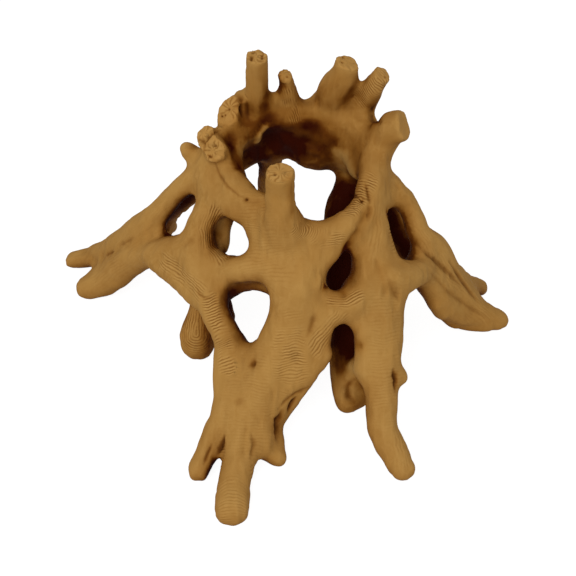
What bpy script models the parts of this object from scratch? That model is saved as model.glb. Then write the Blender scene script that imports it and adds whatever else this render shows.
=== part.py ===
"""Driftwood stump: one grown piece of wood with a ring of sawn stubs on splayed, forked roots.

The stump stands on its root tips with a broad hollow crown above them. It is modelled as it
grew, from tapering limbs that run into each other. Each limb is a list of stations
(x, y, z, radius) in millimetres, thick end first. The frame has +X to the right, -Y to the
front and +Z up, with the ground at z = 0.
"""

import bmesh
import bpy
from mathutils import Matrix, Vector

MM = 0.001

# Driving sizes of the making, in millimetres.
VOXEL = 1.5
BARK_ALLOWANCE = 0.4
BODY_FILLET = 3.0
STUB_FILLET = 1.0
SMOOTH_STEPS = 7
TRIANGLE_TARGET = 8800
LIMB_SIDES = 4
LIMB_STEPS = 6
TIP_SUBDIVISIONS = 3
SAW_MARGIN = 1.5
GROUND_BLOCK = 400.0

# The wall of the crown: a rim all round the hollow, and the grown-together strands under it.
CROWN_WALL = {
    "rim_back": ((-18, 69, 122, 8), (-2, 72, 124, 7), (12, 73, 124, 7), (26, 73, 124, 8),
                 (38, 69, 122, 8.5), (47, 58, 118, 9), (47, 44, 113, 8.5), (45, 31, 108, 8)),
    "rim_front": ((45, 31, 108, 8), (42, 21, 103, 8), (32, 10, 99, 8.5), (18, 5, 96, 8),
                  (7, 6, 97, 8), (-2, 8, 99, 8), (-12, 19, 102, 8), (-19, 23, 104, 7.5)),
    "rim_left": ((-20, 23, 104, 7.5), (-28, 31, 107, 8), (-32, 43, 110, 8), (-33, 56, 114, 8),
                 (-29, 65, 118, 8), (-18, 69, 122, 8)),
    "wall_strand_1": ((-17, 71, 122, 8), (-22, 72, 110, 8), (-25, 72, 98, 7.5)),
    "wall_strand_2": ((-13, 76, 118, 7), (-10, 77, 110, 6.5), (-10, 77, 100, 6.5)),
    "wall_strand_3": ((-1, 73, 117, 6), (-1, 72, 108, 5.5), (-1, 75, 100, 5)),
    "wall_strand_4": ((9, 73, 120, 7), (10, 73, 109, 7), (11, 73, 96, 7)),
    "wall_strand_5": ((23, 71, 119, 8), (21, 70, 108, 8.5), (18, 72, 95, 7)),
    "wall_strand_6": ((35, 69, 115, 8.5), (33, 69, 104, 8), (28, 74, 94, 7)),
    "wall_strand_7": ((45, 56, 112, 9), (42, 55, 103, 8), (41, 67, 98, 7)),
    "wall_foot": ((-24, 76, 98, 7), (-10, 77, 98, 6.5), (1, 78, 100, 6), (10, 76, 94, 6.5),
                  (21, 75, 93, 6.5), (33, 78, 94, 7), (42, 65, 96, 8)),
    "shoulder_outer": ((-41, 51, 111, 9), (-42, 44, 104, 9), (-36, 35, 101, 9), (-25, 25, 98, 8)),
    "shoulder_inner": ((-37, 49, 104, 8), (-28, 36, 102, 8)),
    "back_rib_left": ((-12, 80, 122, 6), (-17, 87, 104, 6.5), (-30, 88, 88, 6.5), (-46, 78, 78, 6)),
    "back_rib_right": ((30, 78, 122, 6), (38, 84, 104, 7), (46, 84, 86, 6.5)),
}

# The broad front face, and the strands round its two left windows.
FRONT_FACE = {
    "apron_1": ((-16, 22, 101, 8), (-12, 13, 92, 8.5), (-10, 1, 81, 8.5)),
    "apron_2": ((-2, 5, 96, 9), (1, -1, 83, 11), (3, -12, 72, 13)),
    "apron_3": ((16, 4, 94, 8), (13, -2, 84, 9.5), (7, -13, 73, 12)),
    "apron_4": ((33, 10, 99, 8), (26, 5, 93, 7.5), (17, 0, 86, 8)),
    "left_strand": ((-41, 46, 106, 9.5), (-41, 36, 95, 8), (-48, 29, 83, 8), (-50, 22, 73, 10),
                    (-46, 12, 66, 10), (-43, -1, 58, 9)),
    "upper_window_side": ((-28, 31, 99, 7.5), (-21, 24, 95, 7), (-14, 14, 88, 7.5), (-12, 4, 81, 8)),
    "window_band": ((-49, 17, 70, 9), (-36, 9, 69, 7.5), (-24, 1, 76, 7.5), (-14, -1, 80, 8),
                    (-4, -5, 79, 10)),
    "window_band_back": ((-43, 15, 50, 7), (-34, 9, 54, 6), (-24, 7, 60, 5.5), (-14, 3, 64, 5.5),
                         (-4, -2, 66, 7)),
}

# The wide front root, from the front face down to its toes.
FRONT_ROOT = {
    "left_strand": ((-50, 17, 70, 10), (-44, 2, 58, 9), (-39, -9, 48, 8), (-32, -19, 40, 8),
                    (-25, -32, 35, 10)),
    "middle_strand": ((3, -12, 72, 13), (2, -19, 60, 12.5), (-4, -29, 47, 13), (-11, -39, 37, 13),
                      (-19, -54, 27, 12)),
    "right_strand": ((9, -12, 68, 11), (11, -20, 59, 10), (12, -28, 50, 10), (6, -35, 40, 10),
                     (-2, -45, 31, 8.5), (-9, -57, 22, 7)),
    "left_edge": ((-32, -27, 39, 9), (-33, -38, 33, 8), (-33, -50, 27, 7.5), (-35, -59, 22, 6.8)),
    "centre": ((-25, -32, 35, 10), (-26, -50, 27, 11), (-24, -64, 20, 10.3), (-25, -76, 15, 9)),
    "right_edge": ((-12, -48, 28, 10), (-14, -62, 20, 9), (-15, -71, 14, 7)),
}

# The right front root, with the bridge that ties it to the front root.
RIGHT_FRONT_ROOT = {
    "inner_strand": ((47, 39, 108, 8.5), (46, 27, 99, 9), (46, 15, 88, 9.5), (45, 4, 76, 10.5),
                     (45, -9, 66, 11)),
    "outer_strand": ((49, 44, 108, 6), (48, 25, 97, 5), (51, 15, 84, 6), (55, 4, 73, 7),
                     (57, -9, 62, 7.5)),
    "shin": ((45, -9, 66, 11), (50, -17, 56, 10.5), (52, -27, 45, 9), (51, -39, 34, 9),
             (51, -49, 24, 9), (51, -61, 16, 8.5), (56, -70, 10, 8.2), (61, -80, 6, 7.3)),
    "shin_edge": ((57, -7, 60, 6), (57, -20, 50, 6.5), (56, -30, 41, 6), (56, -40, 33, 5)),
    "bridge": ((9, -20, 62, 8), (25, -19, 64, 8), (36, -15, 68, 9)),
    "bridge_flare": ((36, -13, 69, 7), (33, -6, 70, 4)),
    "slot_top": ((30, 8, 97, 5.5), (40, 16, 97, 7)),
    "arch_side": ((43, -24, 54, 8), (43, -31, 44, 7), (44, -39, 34, 7)),
}

# The root that runs down inside the stump on the right, from the back wall to a foot in front.
INNER_RIGHT_ROOT = {
    "strand": ((41, 80, 86, 8), (37, 72, 79, 8), (31, 61, 72, 8), (28, 49, 62, 8), (30, 33, 48, 8.5),
               (31, 12, 36, 8), (32, -8, 24, 8.5), (32, -21, 13, 8.5), (34, -34, 7, 8)),
    "tie": ((47, -26, 44, 7), (42, -24, 28, 7), (37, -25, 16, 7)),
}

RIGHT_ROOT = {
    "upper_strand": ((46, 48, 106, 8.5), (57, 40, 98, 8), (67, 38, 89, 6), (73, 28, 77, 7),
                     (83, 30, 62, 9.5), (90, 28, 46, 10), (102, 29, 28, 9), (115, 29, 13, 7.5),
                     (128, 29, 5.2, 6)),
    "lower_strand": ((74, 20, 60, 9), (84, 20, 44, 9.5), (92, 21, 28, 9), (103, 26, 13, 9),
                     (119, 27, 5.8, 6.5)),
    "brace": ((54, -5, 75, 8), (62, -1, 71, 8), (74, 14, 62, 8)),
    "back_toe": ((96, 34, 40, 7), (106, 42, 22, 7.5), (114, 52, 11, 6.3), (120, 57, 5, 5.5)),
    "slot_floor": ((50, 60, 92, 8), (57, 62, 74, 8), (63, 57, 58, 8), (72, 47, 46, 8), (85, 36, 38, 8)),
}

LEFT_ROOT = {
    "upper_strand": ((-44, 51, 105, 8.5), (-55, 50, 97, 6.5), (-65, 50, 86, 6), (-74, 49, 74, 7),
                     (-86, 54, 58, 8.5), (-101, 62, 37, 9), (-116, 74, 18, 8), (-130, 81, 8, 6),
                     (-137, 82, 5, 6)),
    "lower_strand": ((-50, 22, 72, 10), (-63, 27, 64, 9.5), (-76, 38, 54, 9), (-89, 48, 41, 9.5),
                     (-103, 53, 24, 10), (-115, 56, 11, 9.5), (-125, 56, 6.2, 7.5)),
    "web": ((-80, 48, 60, 8), (-90, 50, 44, 10), (-102, 56, 28, 10)),
    "underside": ((-75, 31, 56, 8), (-61, 17, 55, 8), (-48, 3, 53, 8.5)),
}

# The root that runs down inside on the left and ends in one broad foot.
INNER_LEFT_ROOT = {
    "strand": ((-35, 58, 98, 8), (-40, 53, 86, 7), (-45, 45, 72, 7), (-46, 33, 60, 8),
               (-46, 20, 44, 8.5), (-49, 12, 28, 9), (-53, 8, 15, 10.5), (-53, 7, 10, 10.5)),
    "fin": ((-43, 17, 48, 7.5), (-38, 11, 40, 6), (-33, 4, 32, 4)),
}

BACK_ROOTS = {
    "middle": ((-9, 79, 98, 7), (-11, 89, 74, 7), (-12, 102, 44, 7), (-11, 112, 20, 8),
               (-10, 118, 5.5, 7)),
    "middle_toe": ((-9, 108, 26, 6.5), (-3, 118, 12, 6), (1, 123, 4.5, 5.5)),
    "left": ((-24, 72, 100, 8.5), (-44, 71, 84, 7.5), (-61, 73, 66, 7), (-74, 86, 42, 7),
             (-80, 94, 22, 7.5), (-88, 97, 6, 7.5)),
    "left_toe": ((-79, 93, 26, 6.5), (-80, 108, 12, 6.5), (-79, 116, 4.5, 6)),
    "right": ((44, 66, 100, 8.5), (50, 82, 78, 8), (55, 98, 50, 7.5), (62, 112, 22, 8),
              (66, 118, 5.5, 7)),
    "right_toe": ((60, 106, 32, 6.5), (72, 112, 14, 6.5), (80, 115, 4.5, 6)),
    "right_side_strand": ((22, 82, 92, 6.5), (36, 93, 71, 5.5), (51, 97, 52, 6)),
}

# Stubs and small toes, joined on after the body, so that the notches between them stay narrow.
STUBS = {
    "stub_tall": ((-19, 73, 120, 8), (-17.5, 71, 135, 6.6), (-16.5, 68, 153, 6.1), (-16.2, 66, 168, 5.9)),
    "stub_slim": ((-1, 79, 116, 6), (1.5, 76, 130, 6.1), (-0.2, 74, 143, 4.4), (-1.4, 72, 152, 3.8)),
    "stub_broad": ((25, 77, 124, 8.5), (25, 75, 139, 9.5), (30, 71, 153, 7.5), (31, 69, 162, 6)),
    "stub_leaning": ((37, 73, 120, 8), (43, 73, 134, 6.3), (47, 70, 147, 5.8), (51, 70, 155, 4.8)),
    "stub_right": ((47, 53, 106, 8), (50, 54, 118, 9), (55, 53, 130, 9.2), (62, 49, 136, 8.4)),
    "stub_front": ((-1, 5, 99, 11.5), (-4, 3, 118, 8.5), (-4, 3, 131, 7.6), (-4, 1, 143, 7.1)),
    "stub_left_low": ((-36, 52, 112, 8), (-41, 52, 121, 6.5), (-45, 51, 128, 6)),
    "stub_left_front": ((-33, 50, 110, 8.5), (-37, 46, 119, 6.8), (-40, 42, 125, 6)),
    "stub_left_back": ((-28, 64, 120, 8), (-32, 64, 128, 7), (-32, 65, 136, 5.8)),
    "stub_behind_left": ((-18, 80, 106, 7), (-20, 94, 112, 5.5), (-20, 97, 113, 5.2)),
    "stub_behind_right": ((38, 76, 98, 7), (50, 90, 100, 5.5), (52, 93, 101, 5.2)),
}

KNOBS = {
    "broad_stub_heel": ((13, 78, 125, 6), (18, 80, 131, 4.5), (23, 79, 141, 3.5)),
    "notch_beside_slim": ((-11, 74, 122, 6.5), (-8.5, 73, 136, 3.6)),
    "knob_beside_tall": ((-22, 71, 122, 6), (-25, 75, 130, 4), (-26, 73, 138, 3.5)),
    "knob_left": ((-46, 51, 105, 7), (-53, 58, 109, 5), (-56, 58, 113, 4.5)),
    "wall_ridge": ((-12, 76, 113, 3.5), (-17, 77, 105, 4), (-22, 76, 97, 5)),
    "upper_window_strand": ((-33, 37, 86, 5), (-37, 36, 74, 5), (-39, 30, 66, 6)),
    "shin_nub": ((55, -35, 37, 6), (62, -38, 31, 4)),
    "foot_cleft_side": ((45, -26, 22, 5.5), (43, -29, 10, 5), (40, -33, 6, 5)),
    "front_side_strand": ((18, -35, 45, 5), (9, -43, 33, 4.5), (1, -49, 23, 4.5), (-6, -57, 13, 4),
                          (-6, -68, 8, 4.5)),
    "front_side_web": ((6, -39, 34, 7), (-2, -49, 25, 6), (-10, -59, 16, 5)),
    "toe_front": ((-25, -77, 14, 9), (-28, -90, 9, 8.5), (-29, -105, 6, 9.3)),
    "toe_front_left": ((-38, -62, 19, 6.5), (-43, -72, 12, 5.8), (-47.5, -82, 7, 6.2)),
    "toe_front_left_inner": ((-38, -62, 15, 4.2), (-41.5, -69, 9.5, 3.3), (-42, -74, 5.5, 3.1)),
    "toe_front_right": ((-14, -68, 15, 7), (-11, -70, 9, 6), (-5, -73, 5, 5)),
}

BODY_GROUPS = (CROWN_WALL, FRONT_FACE, FRONT_ROOT, RIGHT_FRONT_ROOT, INNER_RIGHT_ROOT, RIGHT_ROOT,
               LEFT_ROOT, INNER_LEFT_ROOT, BACK_ROOTS)

# The way each sawn face looks. The face passes through the last station of its stub.
SAWN_FACES = {
    "stub_tall": (0.05, -0.12, 1.0),
    "stub_slim": (0.0, -0.45, 0.9),
    "stub_broad": (0.3, -0.1, 1.0),
    "stub_leaning": (0.6, -0.25, 0.8),
    "stub_right": (0.85, -0.3, 0.42),
    "stub_front": (0.0, -0.06, 1.0),
    "stub_left_low": (-0.45, -0.35, 0.8),
    "stub_left_front": (-0.3, -0.55, 0.78),
    "stub_left_back": (-0.35, -0.6, 0.72),
    "stub_behind_left": (-0.1, 0.95, 0.3),
    "stub_behind_right": (0.5, 0.85, 0.1),
}


def clear_scene():
    """Removes every object that the scene starts with."""
    for item in list(bpy.data.objects):
        bpy.data.objects.remove(item, do_unlink=True)


def driftwood_material():
    """Returns the matt, tan-brown wood."""
    material = bpy.data.materials.new("driftwood")
    material.use_nodes = True
    shader = material.node_tree.nodes["Principled BSDF"]
    shader.inputs["Base Color"].default_value = (0.33, 0.18, 0.06, 1.0)
    shader.inputs["Roughness"].default_value = 0.75
    shader.inputs["Metallic"].default_value = 0.0
    return material


def evaluated_mesh(item):
    """Returns a new mesh: the object as its modifiers or its curve's bevel make it."""
    depsgraph = bpy.context.evaluated_depsgraph_get()
    return bpy.data.meshes.new_from_object(item.evaluated_get(depsgraph))


def mesh_object(name, mesh_builder):
    """Turns a bmesh into a linked object and frees the bmesh."""
    mesh = bpy.data.meshes.new(name)
    mesh_builder.to_mesh(mesh)
    mesh_builder.free()
    item = bpy.data.objects.new(name, mesh)
    bpy.context.collection.objects.link(item)
    return item


def limb_curve(name, stations):
    """Returns a curve object: a round, tapering tube through the stations."""
    curve = bpy.data.curves.new(name, "CURVE")
    curve.dimensions = "3D"
    curve.bevel_depth = 1.0
    curve.bevel_resolution = LIMB_SIDES
    curve.resolution_u = LIMB_STEPS
    curve.use_fill_caps = True
    spline = curve.splines.new("BEZIER")
    spline.bezier_points.add(len(stations) - 1)
    for point, (x, y, z, radius) in zip(spline.bezier_points, stations):
        point.co = Vector((x, y, z)) * MM
        point.radius = (radius + BARK_ALLOWANCE) * MM
        point.handle_left_type = "AUTO"
        point.handle_right_type = "AUTO"
    item = bpy.data.objects.new(name, curve)
    bpy.context.collection.objects.link(item)
    return item


def add_limb(mesh_builder, name, stations):
    """Adds one limb to the bmesh: its tube, and a ball at each end."""
    item = limb_curve(name, stations)
    bpy.context.view_layer.update()
    tube = evaluated_mesh(item)
    mesh_builder.from_mesh(tube)
    bpy.data.objects.remove(item, do_unlink=True)
    bpy.data.meshes.remove(tube)
    for x, y, z, radius in (stations[0], stations[-1]):
        bmesh.ops.create_icosphere(
            mesh_builder,
            subdivisions=TIP_SUBDIVISIONS,
            radius=(radius + BARK_ALLOWANCE) * MM,
            matrix=Matrix.Translation(Vector((x, y, z)) * MM),
        )


def add_remesh(item):
    """Adds a voxel remesh, which joins all that overlaps into one skin."""
    remesh = item.modifiers.new("Remesh", "REMESH")
    remesh.mode = "VOXEL"
    remesh.voxel_size = VOXEL * MM
    remesh.use_smooth_shade = True


def add_displace(item, strength):
    """Adds a displacement along the normals, outwards where the strength is positive."""
    displace = item.modifiers.new("Displace", "DISPLACE")
    displace.mid_level = 0.0
    displace.strength = strength * MM


def add_grown_fillets(item, width):
    """Swells and shrinks the skin again, which fills its creases as growing wood does."""
    add_remesh(item)
    add_displace(item, width)
    add_remesh(item)
    add_displace(item, -width)
    add_remesh(item)


def grown_body():
    """Returns the mesh of the crown and roots, with broad fillets where limbs meet."""
    mesh_builder = bmesh.new()
    for group in BODY_GROUPS:
        for name, stations in group.items():
            add_limb(mesh_builder, name, stations)
    body = mesh_object("body", mesh_builder)
    add_grown_fillets(body, BODY_FILLET)
    mesh = evaluated_mesh(body)
    bpy.data.objects.remove(body, do_unlink=True)
    return mesh


def add_cutter(mesh_builder, name, collection):
    """Makes a hidden cutter in the collection of cutters."""
    cutter = mesh_object(name, mesh_builder)
    bpy.context.collection.objects.unlink(cutter)
    collection.objects.link(cutter)
    cutter.hide_render = True
    cutter.display_type = "WIRE"
    return cutter


def saw_cutter(stub_name, collection):
    """Returns a block that takes off the stub's round tip, with one face on the sawn face."""
    x, y, z, radius = STUBS[stub_name][-1]
    normal = Vector(SAWN_FACES[stub_name]).normalized()
    half = radius + SAW_MARGIN
    centre = Vector((x, y, z)) + normal * half
    turn = normal.to_track_quat("Z", "Y").to_matrix().to_4x4()
    mesh_builder = bmesh.new()
    bmesh.ops.create_cube(
        mesh_builder, size=2.0 * half * MM, matrix=Matrix.Translation(centre * MM) @ turn
    )
    return add_cutter(mesh_builder, "saw_" + stub_name, collection)


def ground_cutter(collection):
    """Returns a block under the ground plane, which leaves a flat spot on each foot."""
    mesh_builder = bmesh.new()
    bmesh.ops.create_cube(
        mesh_builder,
        size=GROUND_BLOCK * MM,
        matrix=Matrix.Translation((0.0, 0.0, -GROUND_BLOCK / 2.0 * MM)),
    )
    return add_cutter(mesh_builder, "ground", collection)


def make_stump():
    """Returns the stump and its cutters, each of them a child of one empty."""
    mesh_builder = bmesh.new()
    mesh_builder.from_mesh(grown_body())
    for group in (STUBS, KNOBS):
        for name, stations in group.items():
            add_limb(mesh_builder, name, stations)
    stump = mesh_object("driftwood_stump", mesh_builder)
    stump.data.materials.append(driftwood_material())
    add_grown_fillets(stump, STUB_FILLET)

    smooth = stump.modifiers.new("Smooth", "SMOOTH")
    smooth.factor = 0.5
    smooth.iterations = SMOOTH_STEPS

    dense = evaluated_mesh(stump)
    dense.calc_loop_triangles()
    decimate = stump.modifiers.new("Decimate", "DECIMATE")
    decimate.ratio = TRIANGLE_TARGET / len(dense.loop_triangles)
    bpy.data.meshes.remove(dense)

    cutters = bpy.data.collections.new("cutters")
    bpy.context.scene.collection.children.link(cutters)
    parts = [saw_cutter(name, cutters) for name in SAWN_FACES]
    parts.append(ground_cutter(cutters))
    cut = stump.modifiers.new("Saw cuts", "BOOLEAN")
    cut.operation = "DIFFERENCE"
    cut.solver = "EXACT"
    cut.operand_type = "COLLECTION"
    cut.collection = cutters

    origin = bpy.data.objects.new("stump_origin", None)
    bpy.context.collection.objects.link(origin)
    for item in [stump] + parts:
        item.parent = origin
    return stump, origin


def centre_on_footprint(stump, origin):
    """Moves the empty, so that the stump's bounding box is centred over the world's origin."""
    mesh = evaluated_mesh(stump)
    xs = [vertex.co.x for vertex in mesh.vertices]
    ys = [vertex.co.y for vertex in mesh.vertices]
    origin.location = (-(min(xs) + max(xs)) / 2.0, -(min(ys) + max(ys)) / 2.0, 0.0)
    bpy.data.meshes.remove(mesh)


def main():
    """Builds the stump."""
    clear_scene()
    stump, origin = make_stump()
    centre_on_footprint(stump, origin)
    bpy.context.view_layer.update()


main()
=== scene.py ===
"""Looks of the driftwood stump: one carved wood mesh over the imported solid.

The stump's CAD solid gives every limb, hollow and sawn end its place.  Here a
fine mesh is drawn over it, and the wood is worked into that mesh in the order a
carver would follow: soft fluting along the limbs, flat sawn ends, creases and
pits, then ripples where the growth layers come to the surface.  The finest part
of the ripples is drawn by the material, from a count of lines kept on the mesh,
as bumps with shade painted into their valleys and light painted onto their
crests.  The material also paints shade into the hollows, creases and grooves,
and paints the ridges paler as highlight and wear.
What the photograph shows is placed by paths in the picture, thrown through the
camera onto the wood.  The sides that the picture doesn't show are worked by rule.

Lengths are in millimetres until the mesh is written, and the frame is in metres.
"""

from __future__ import annotations

import enum
import logging
import math
from dataclasses import dataclass, field

import bmesh
import bpy
import numpy as np
from mathutils import Matrix, Vector
from mathutils.bvhtree import BVHTree
from mathutils.kdtree import KDTree


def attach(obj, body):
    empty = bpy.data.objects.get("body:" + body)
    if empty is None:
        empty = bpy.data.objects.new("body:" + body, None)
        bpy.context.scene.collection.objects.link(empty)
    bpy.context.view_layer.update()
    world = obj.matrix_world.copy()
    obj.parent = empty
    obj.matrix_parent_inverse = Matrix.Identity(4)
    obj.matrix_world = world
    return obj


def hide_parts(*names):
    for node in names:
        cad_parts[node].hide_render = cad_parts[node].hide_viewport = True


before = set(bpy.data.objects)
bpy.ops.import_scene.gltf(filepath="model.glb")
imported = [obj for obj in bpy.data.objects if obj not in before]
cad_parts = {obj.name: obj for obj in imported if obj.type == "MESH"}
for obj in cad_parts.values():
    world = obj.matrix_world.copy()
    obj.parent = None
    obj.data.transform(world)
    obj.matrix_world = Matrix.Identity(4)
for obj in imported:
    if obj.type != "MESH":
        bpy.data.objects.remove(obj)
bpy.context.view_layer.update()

NODE = "driftwood_stump"
PIECE = "stump_wood"
METRES = 0.001
TINY = 1e-9
WHITE = (1.0, 1.0, 1.0, 1.0)

# How far from a cut's plane a vertex may lie, and how nearly it has to face the same way.
FACE_SLACK = 2.0
FACE_TILT = 0.35
FLAT_TILT = 0.8

# What an edge across the growth still counts, and what a millimetre costs against a cosine.
ACROSS_SHARE = 0.004
AWAY_COST = 0.12

# Starts of the random draws.
FLUTE_SEED = 5
STREAK_SEED = 9
SWAY_SEED = 11
PATCH_SEED = 12
HIDDEN_SEED = 21
FACE_SEED = 40

Pixel = tuple[float, float]
Point = tuple[float, float, float]
Colour = tuple[float, float, float]
Span = tuple[float, float, float, float]

log = logging.getLogger("stump")


def srgb(red: int, green: int, blue: int) -> Colour:
    """Turns a colour as a picture shows it into the linear colour that Blender works in.

    Args:
        red: Red from 0 to 255.
        green: Green from 0 to 255.
        blue: Blue from 0 to 255.

    Returns:
        The linear colour, each part from 0 to 1.
    """
    dark_end, dark_slope, lift, power = 0.04045, 12.92, 0.055, 2.4
    parts = []
    for value in (red, green, blue):
        share = value / 255
        bright = ((share + lift) / (1 + lift)) ** power
        parts.append(share / dark_slope if share <= dark_end else bright)
    return tuple(parts)


def unit(rows: np.ndarray) -> np.ndarray:
    """Scales each row of an array to length 1."""
    return rows / np.maximum(np.linalg.norm(rows, axis=-1, keepdims=True), TINY)


def ease(values: np.ndarray, start: float, end: float) -> np.ndarray:
    """Goes smoothly from 0 at start to 1 at end.

    Args:
        values: Numbers to map.
        start: Value that gives 0.
        end: Value that gives 1. It may be below start.

    Returns:
        The eased numbers.
    """
    share = np.clip((values - start) / (end - start), 0, 1)
    return share * share * (3 - 2 * share)


class Lattice:
    """Smooth random values in space, the same on every run."""

    CELLS = 24
    LAYER_SHIFT = 7.3

    def __init__(self, seed: int) -> None:
        """Draws the lattice values.

        Args:
            seed: Start of the random draw.
        """
        draw = np.random.default_rng(seed)
        self.values = draw.uniform(-1, 1, (self.CELLS,) * 3)

    def at(self, points: np.ndarray, scale: float) -> np.ndarray:
        """Reads the noise.

        Args:
            points: Positions, one row each.
            scale: Size of one blotch, in the units of the points.

        Returns:
            One value from -1 to 1 for each point.
        """
        place = points / scale
        cell = np.floor(place).astype(int)
        part = place - cell
        part = part * part * (3 - 2 * part)
        total = np.zeros(len(points))
        for corner in np.ndindex(2, 2, 2):
            index = (cell + corner) % self.CELLS
            share = np.prod(np.where(corner, part, 1 - part), axis=1)
            total += share * self.values[index[:, 0], index[:, 1], index[:, 2]]
        return total

    def layered(self, points: np.ndarray, scale: float, octaves: int) -> np.ndarray:
        """Adds finer and fainter copies of the noise to itself.

        Args:
            points: Positions, one row each.
            scale: Size of the largest blotch.
            octaves: How many sizes are added.

        Returns:
            One value for each point, mostly between -1 and 1.
        """
        total = np.zeros(len(points))
        for octave in range(octaves):
            finer = 2**octave
            total += self.at(points + self.LAYER_SHIFT * octave, scale / finer) / finer
        return total


@dataclass(frozen=True)
class PhotoView:
    """The camera that took the photograph, in the frame's own axes.

    It looks along +Y and down, and stands over the line x = middle_x.
    """

    middle_x: float = 4.521
    target_y: float = -6.763
    target_z: float = 62.0
    distance: float = 600.0
    elevation_deg: float = 45.0
    image_px: int = 576
    focal_px: float = 1092.0
    sensor_mm: float = 36.0
    nearest_m: float = 0.01
    farthest_m: float = 10.0

    def axes(self) -> tuple[np.ndarray, np.ndarray, np.ndarray]:
        """Works out which way the camera is turned.

        Returns:
            Its right, up and forward directions.
        """
        tilt = math.radians(self.elevation_deg)
        right = np.array([1.0, 0.0, 0.0])
        up = np.array([0.0, math.sin(tilt), math.cos(tilt)])
        forward = np.array([0.0, math.cos(tilt), -math.sin(tilt)])
        return right, up, forward

    def position(self) -> np.ndarray:
        """Gives the camera's place in millimetres."""
        target = np.array([self.middle_x, self.target_y, self.target_z])
        return target - self.axes()[2] * self.distance

    def ray(self, pixel: Pixel) -> np.ndarray:
        """Gives the direction in which a point of the picture lies.

        Args:
            pixel: Place in the picture, from its top left corner.

        Returns:
            A direction of length 1.
        """
        right, up, forward = self.axes()
        across = (pixel[0] - self.image_px / 2) / self.focal_px
        rise = (self.image_px / 2 - pixel[1]) / self.focal_px
        return unit(forward + right * across + up * rise)

    def make(self) -> None:
        """Adds the camera to the scene."""
        data = bpy.data.cameras.new("photo_view")
        data.sensor_width = self.sensor_mm
        data.lens = self.focal_px / self.image_px * self.sensor_mm
        data.clip_start = self.nearest_m
        data.clip_end = self.farthest_m
        camera = bpy.data.objects.new("photo_view", data)
        right, up, forward = self.axes()
        turn = Matrix((right, up, -forward)).transposed().to_4x4()
        camera.matrix_world = Matrix.Translation(self.position() * METRES) @ turn
        bpy.context.scene.collection.objects.link(camera)
        bpy.context.scene.camera = camera


class Surface:
    """A closed mesh as arrays: places and normals in millimetres, and who neighbours whom."""

    SAME_SIDE = 0.05

    def __init__(self, mesh: bpy.types.Mesh) -> None:
        """Reads a mesh.

        Args:
            mesh: The mesh, in metres.
        """
        self.mesh = mesh
        count = len(mesh.vertices)
        self.places = np.empty(count * 3)
        mesh.vertices.foreach_get("co", self.places)
        self.places = self.places.reshape(-1, 3) / METRES
        ends = np.empty(len(mesh.edges) * 2, int)
        mesh.edges.foreach_get("vertices", ends)
        ends = ends.reshape(-1, 2)
        self.first = np.concatenate((ends[:, 0], ends[:, 1]))
        self.second = np.concatenate((ends[:, 1], ends[:, 0]))
        self.neighbours = np.bincount(self.first, minlength=count)
        self.normals = np.zeros((count, 3))
        self.update_normals()

    def write(self) -> None:
        """Puts the places back into the mesh, in metres."""
        self.mesh.vertices.foreach_set("co", (self.places * METRES).ravel())
        self.mesh.update()

    def update_normals(self) -> None:
        """Works the normals out again after the surface has moved."""
        self.write()
        values = np.empty(len(self.places) * 3)
        self.mesh.vertex_normals.foreach_get("vector", values)
        self.normals = values.reshape(-1, 3)

    def mean(self, values: np.ndarray, weights: np.ndarray | None = None) -> np.ndarray:
        """Averages a value over each vertex's neighbours.

        Args:
            values: One number, or one row, for each vertex.
            weights: One number for each directed edge, or None for equal shares.

        Returns:
            The averages, in the shape of values.
        """
        count = len(self.places)
        if weights is None:
            share = 1 / np.maximum(self.neighbours, 1)
            picked = values[self.second]
        else:
            share = 1 / np.maximum(np.bincount(self.first, weights, count), TINY)
            rows = weights if values.ndim == 1 else weights[:, None]
            picked = values[self.second] * rows
        if values.ndim == 1:
            return np.bincount(self.first, picked, count) * share
        columns = [np.bincount(self.first, column, count) for column in picked.T]
        return np.stack(columns, axis=1) * share[:, None]

    def blur(self, values: np.ndarray, steps: int, weights: np.ndarray | None = None) -> np.ndarray:
        """Smooths a value over the surface by repeated averaging.

        Args:
            values: One number, or one row, for each vertex.
            steps: How many times it is averaged.
            weights: One number for each directed edge, or None.

        Returns:
            The smoothed values.
        """
        for _ in range(steps):
            values = (values + self.mean(values, weights)) / 2
        return values

    def relax(self, steps: int, inward: float, outward: float) -> None:
        """Smooths the shape without shrinking it, by steps in and slightly larger steps out.

        Args:
            steps: Pairs of steps.
            inward: Share of the way to the neighbours' average.
            outward: Share of the way back.
        """
        for _ in range(steps):
            self.places += inward * (self.mean(self.places) - self.places)
            self.places -= outward * (self.mean(self.places) - self.places)
        self.update_normals()

    def push(self, depth: np.ndarray) -> None:
        """Moves each vertex outwards along its normal by its own depth."""
        self.places += self.normals * depth[:, None]

    def near(self, places: np.ndarray, normal: np.ndarray, reach: float) -> np.ndarray:
        """Finds the vertices near a path that face the same way.

        Args:
            places: Places along the path.
            normal: Mean normal of the path.
            reach: Greatest distance.

        Returns:
            Their numbers.
        """
        low = places.min(axis=0) - reach
        high = places.max(axis=0) + reach
        inside = ((self.places > low) & (self.places < high)).all(axis=1)
        facing = self.normals @ normal > self.SAME_SIDE
        return np.flatnonzero(inside & facing)

    def tree(self) -> BVHTree:
        """Makes a search tree of the faces, in millimetres."""
        faces = [tuple(face.vertices) for face in self.mesh.polygons]
        return BVHTree.FromPolygons(self.places.tolist(), faces)


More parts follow.
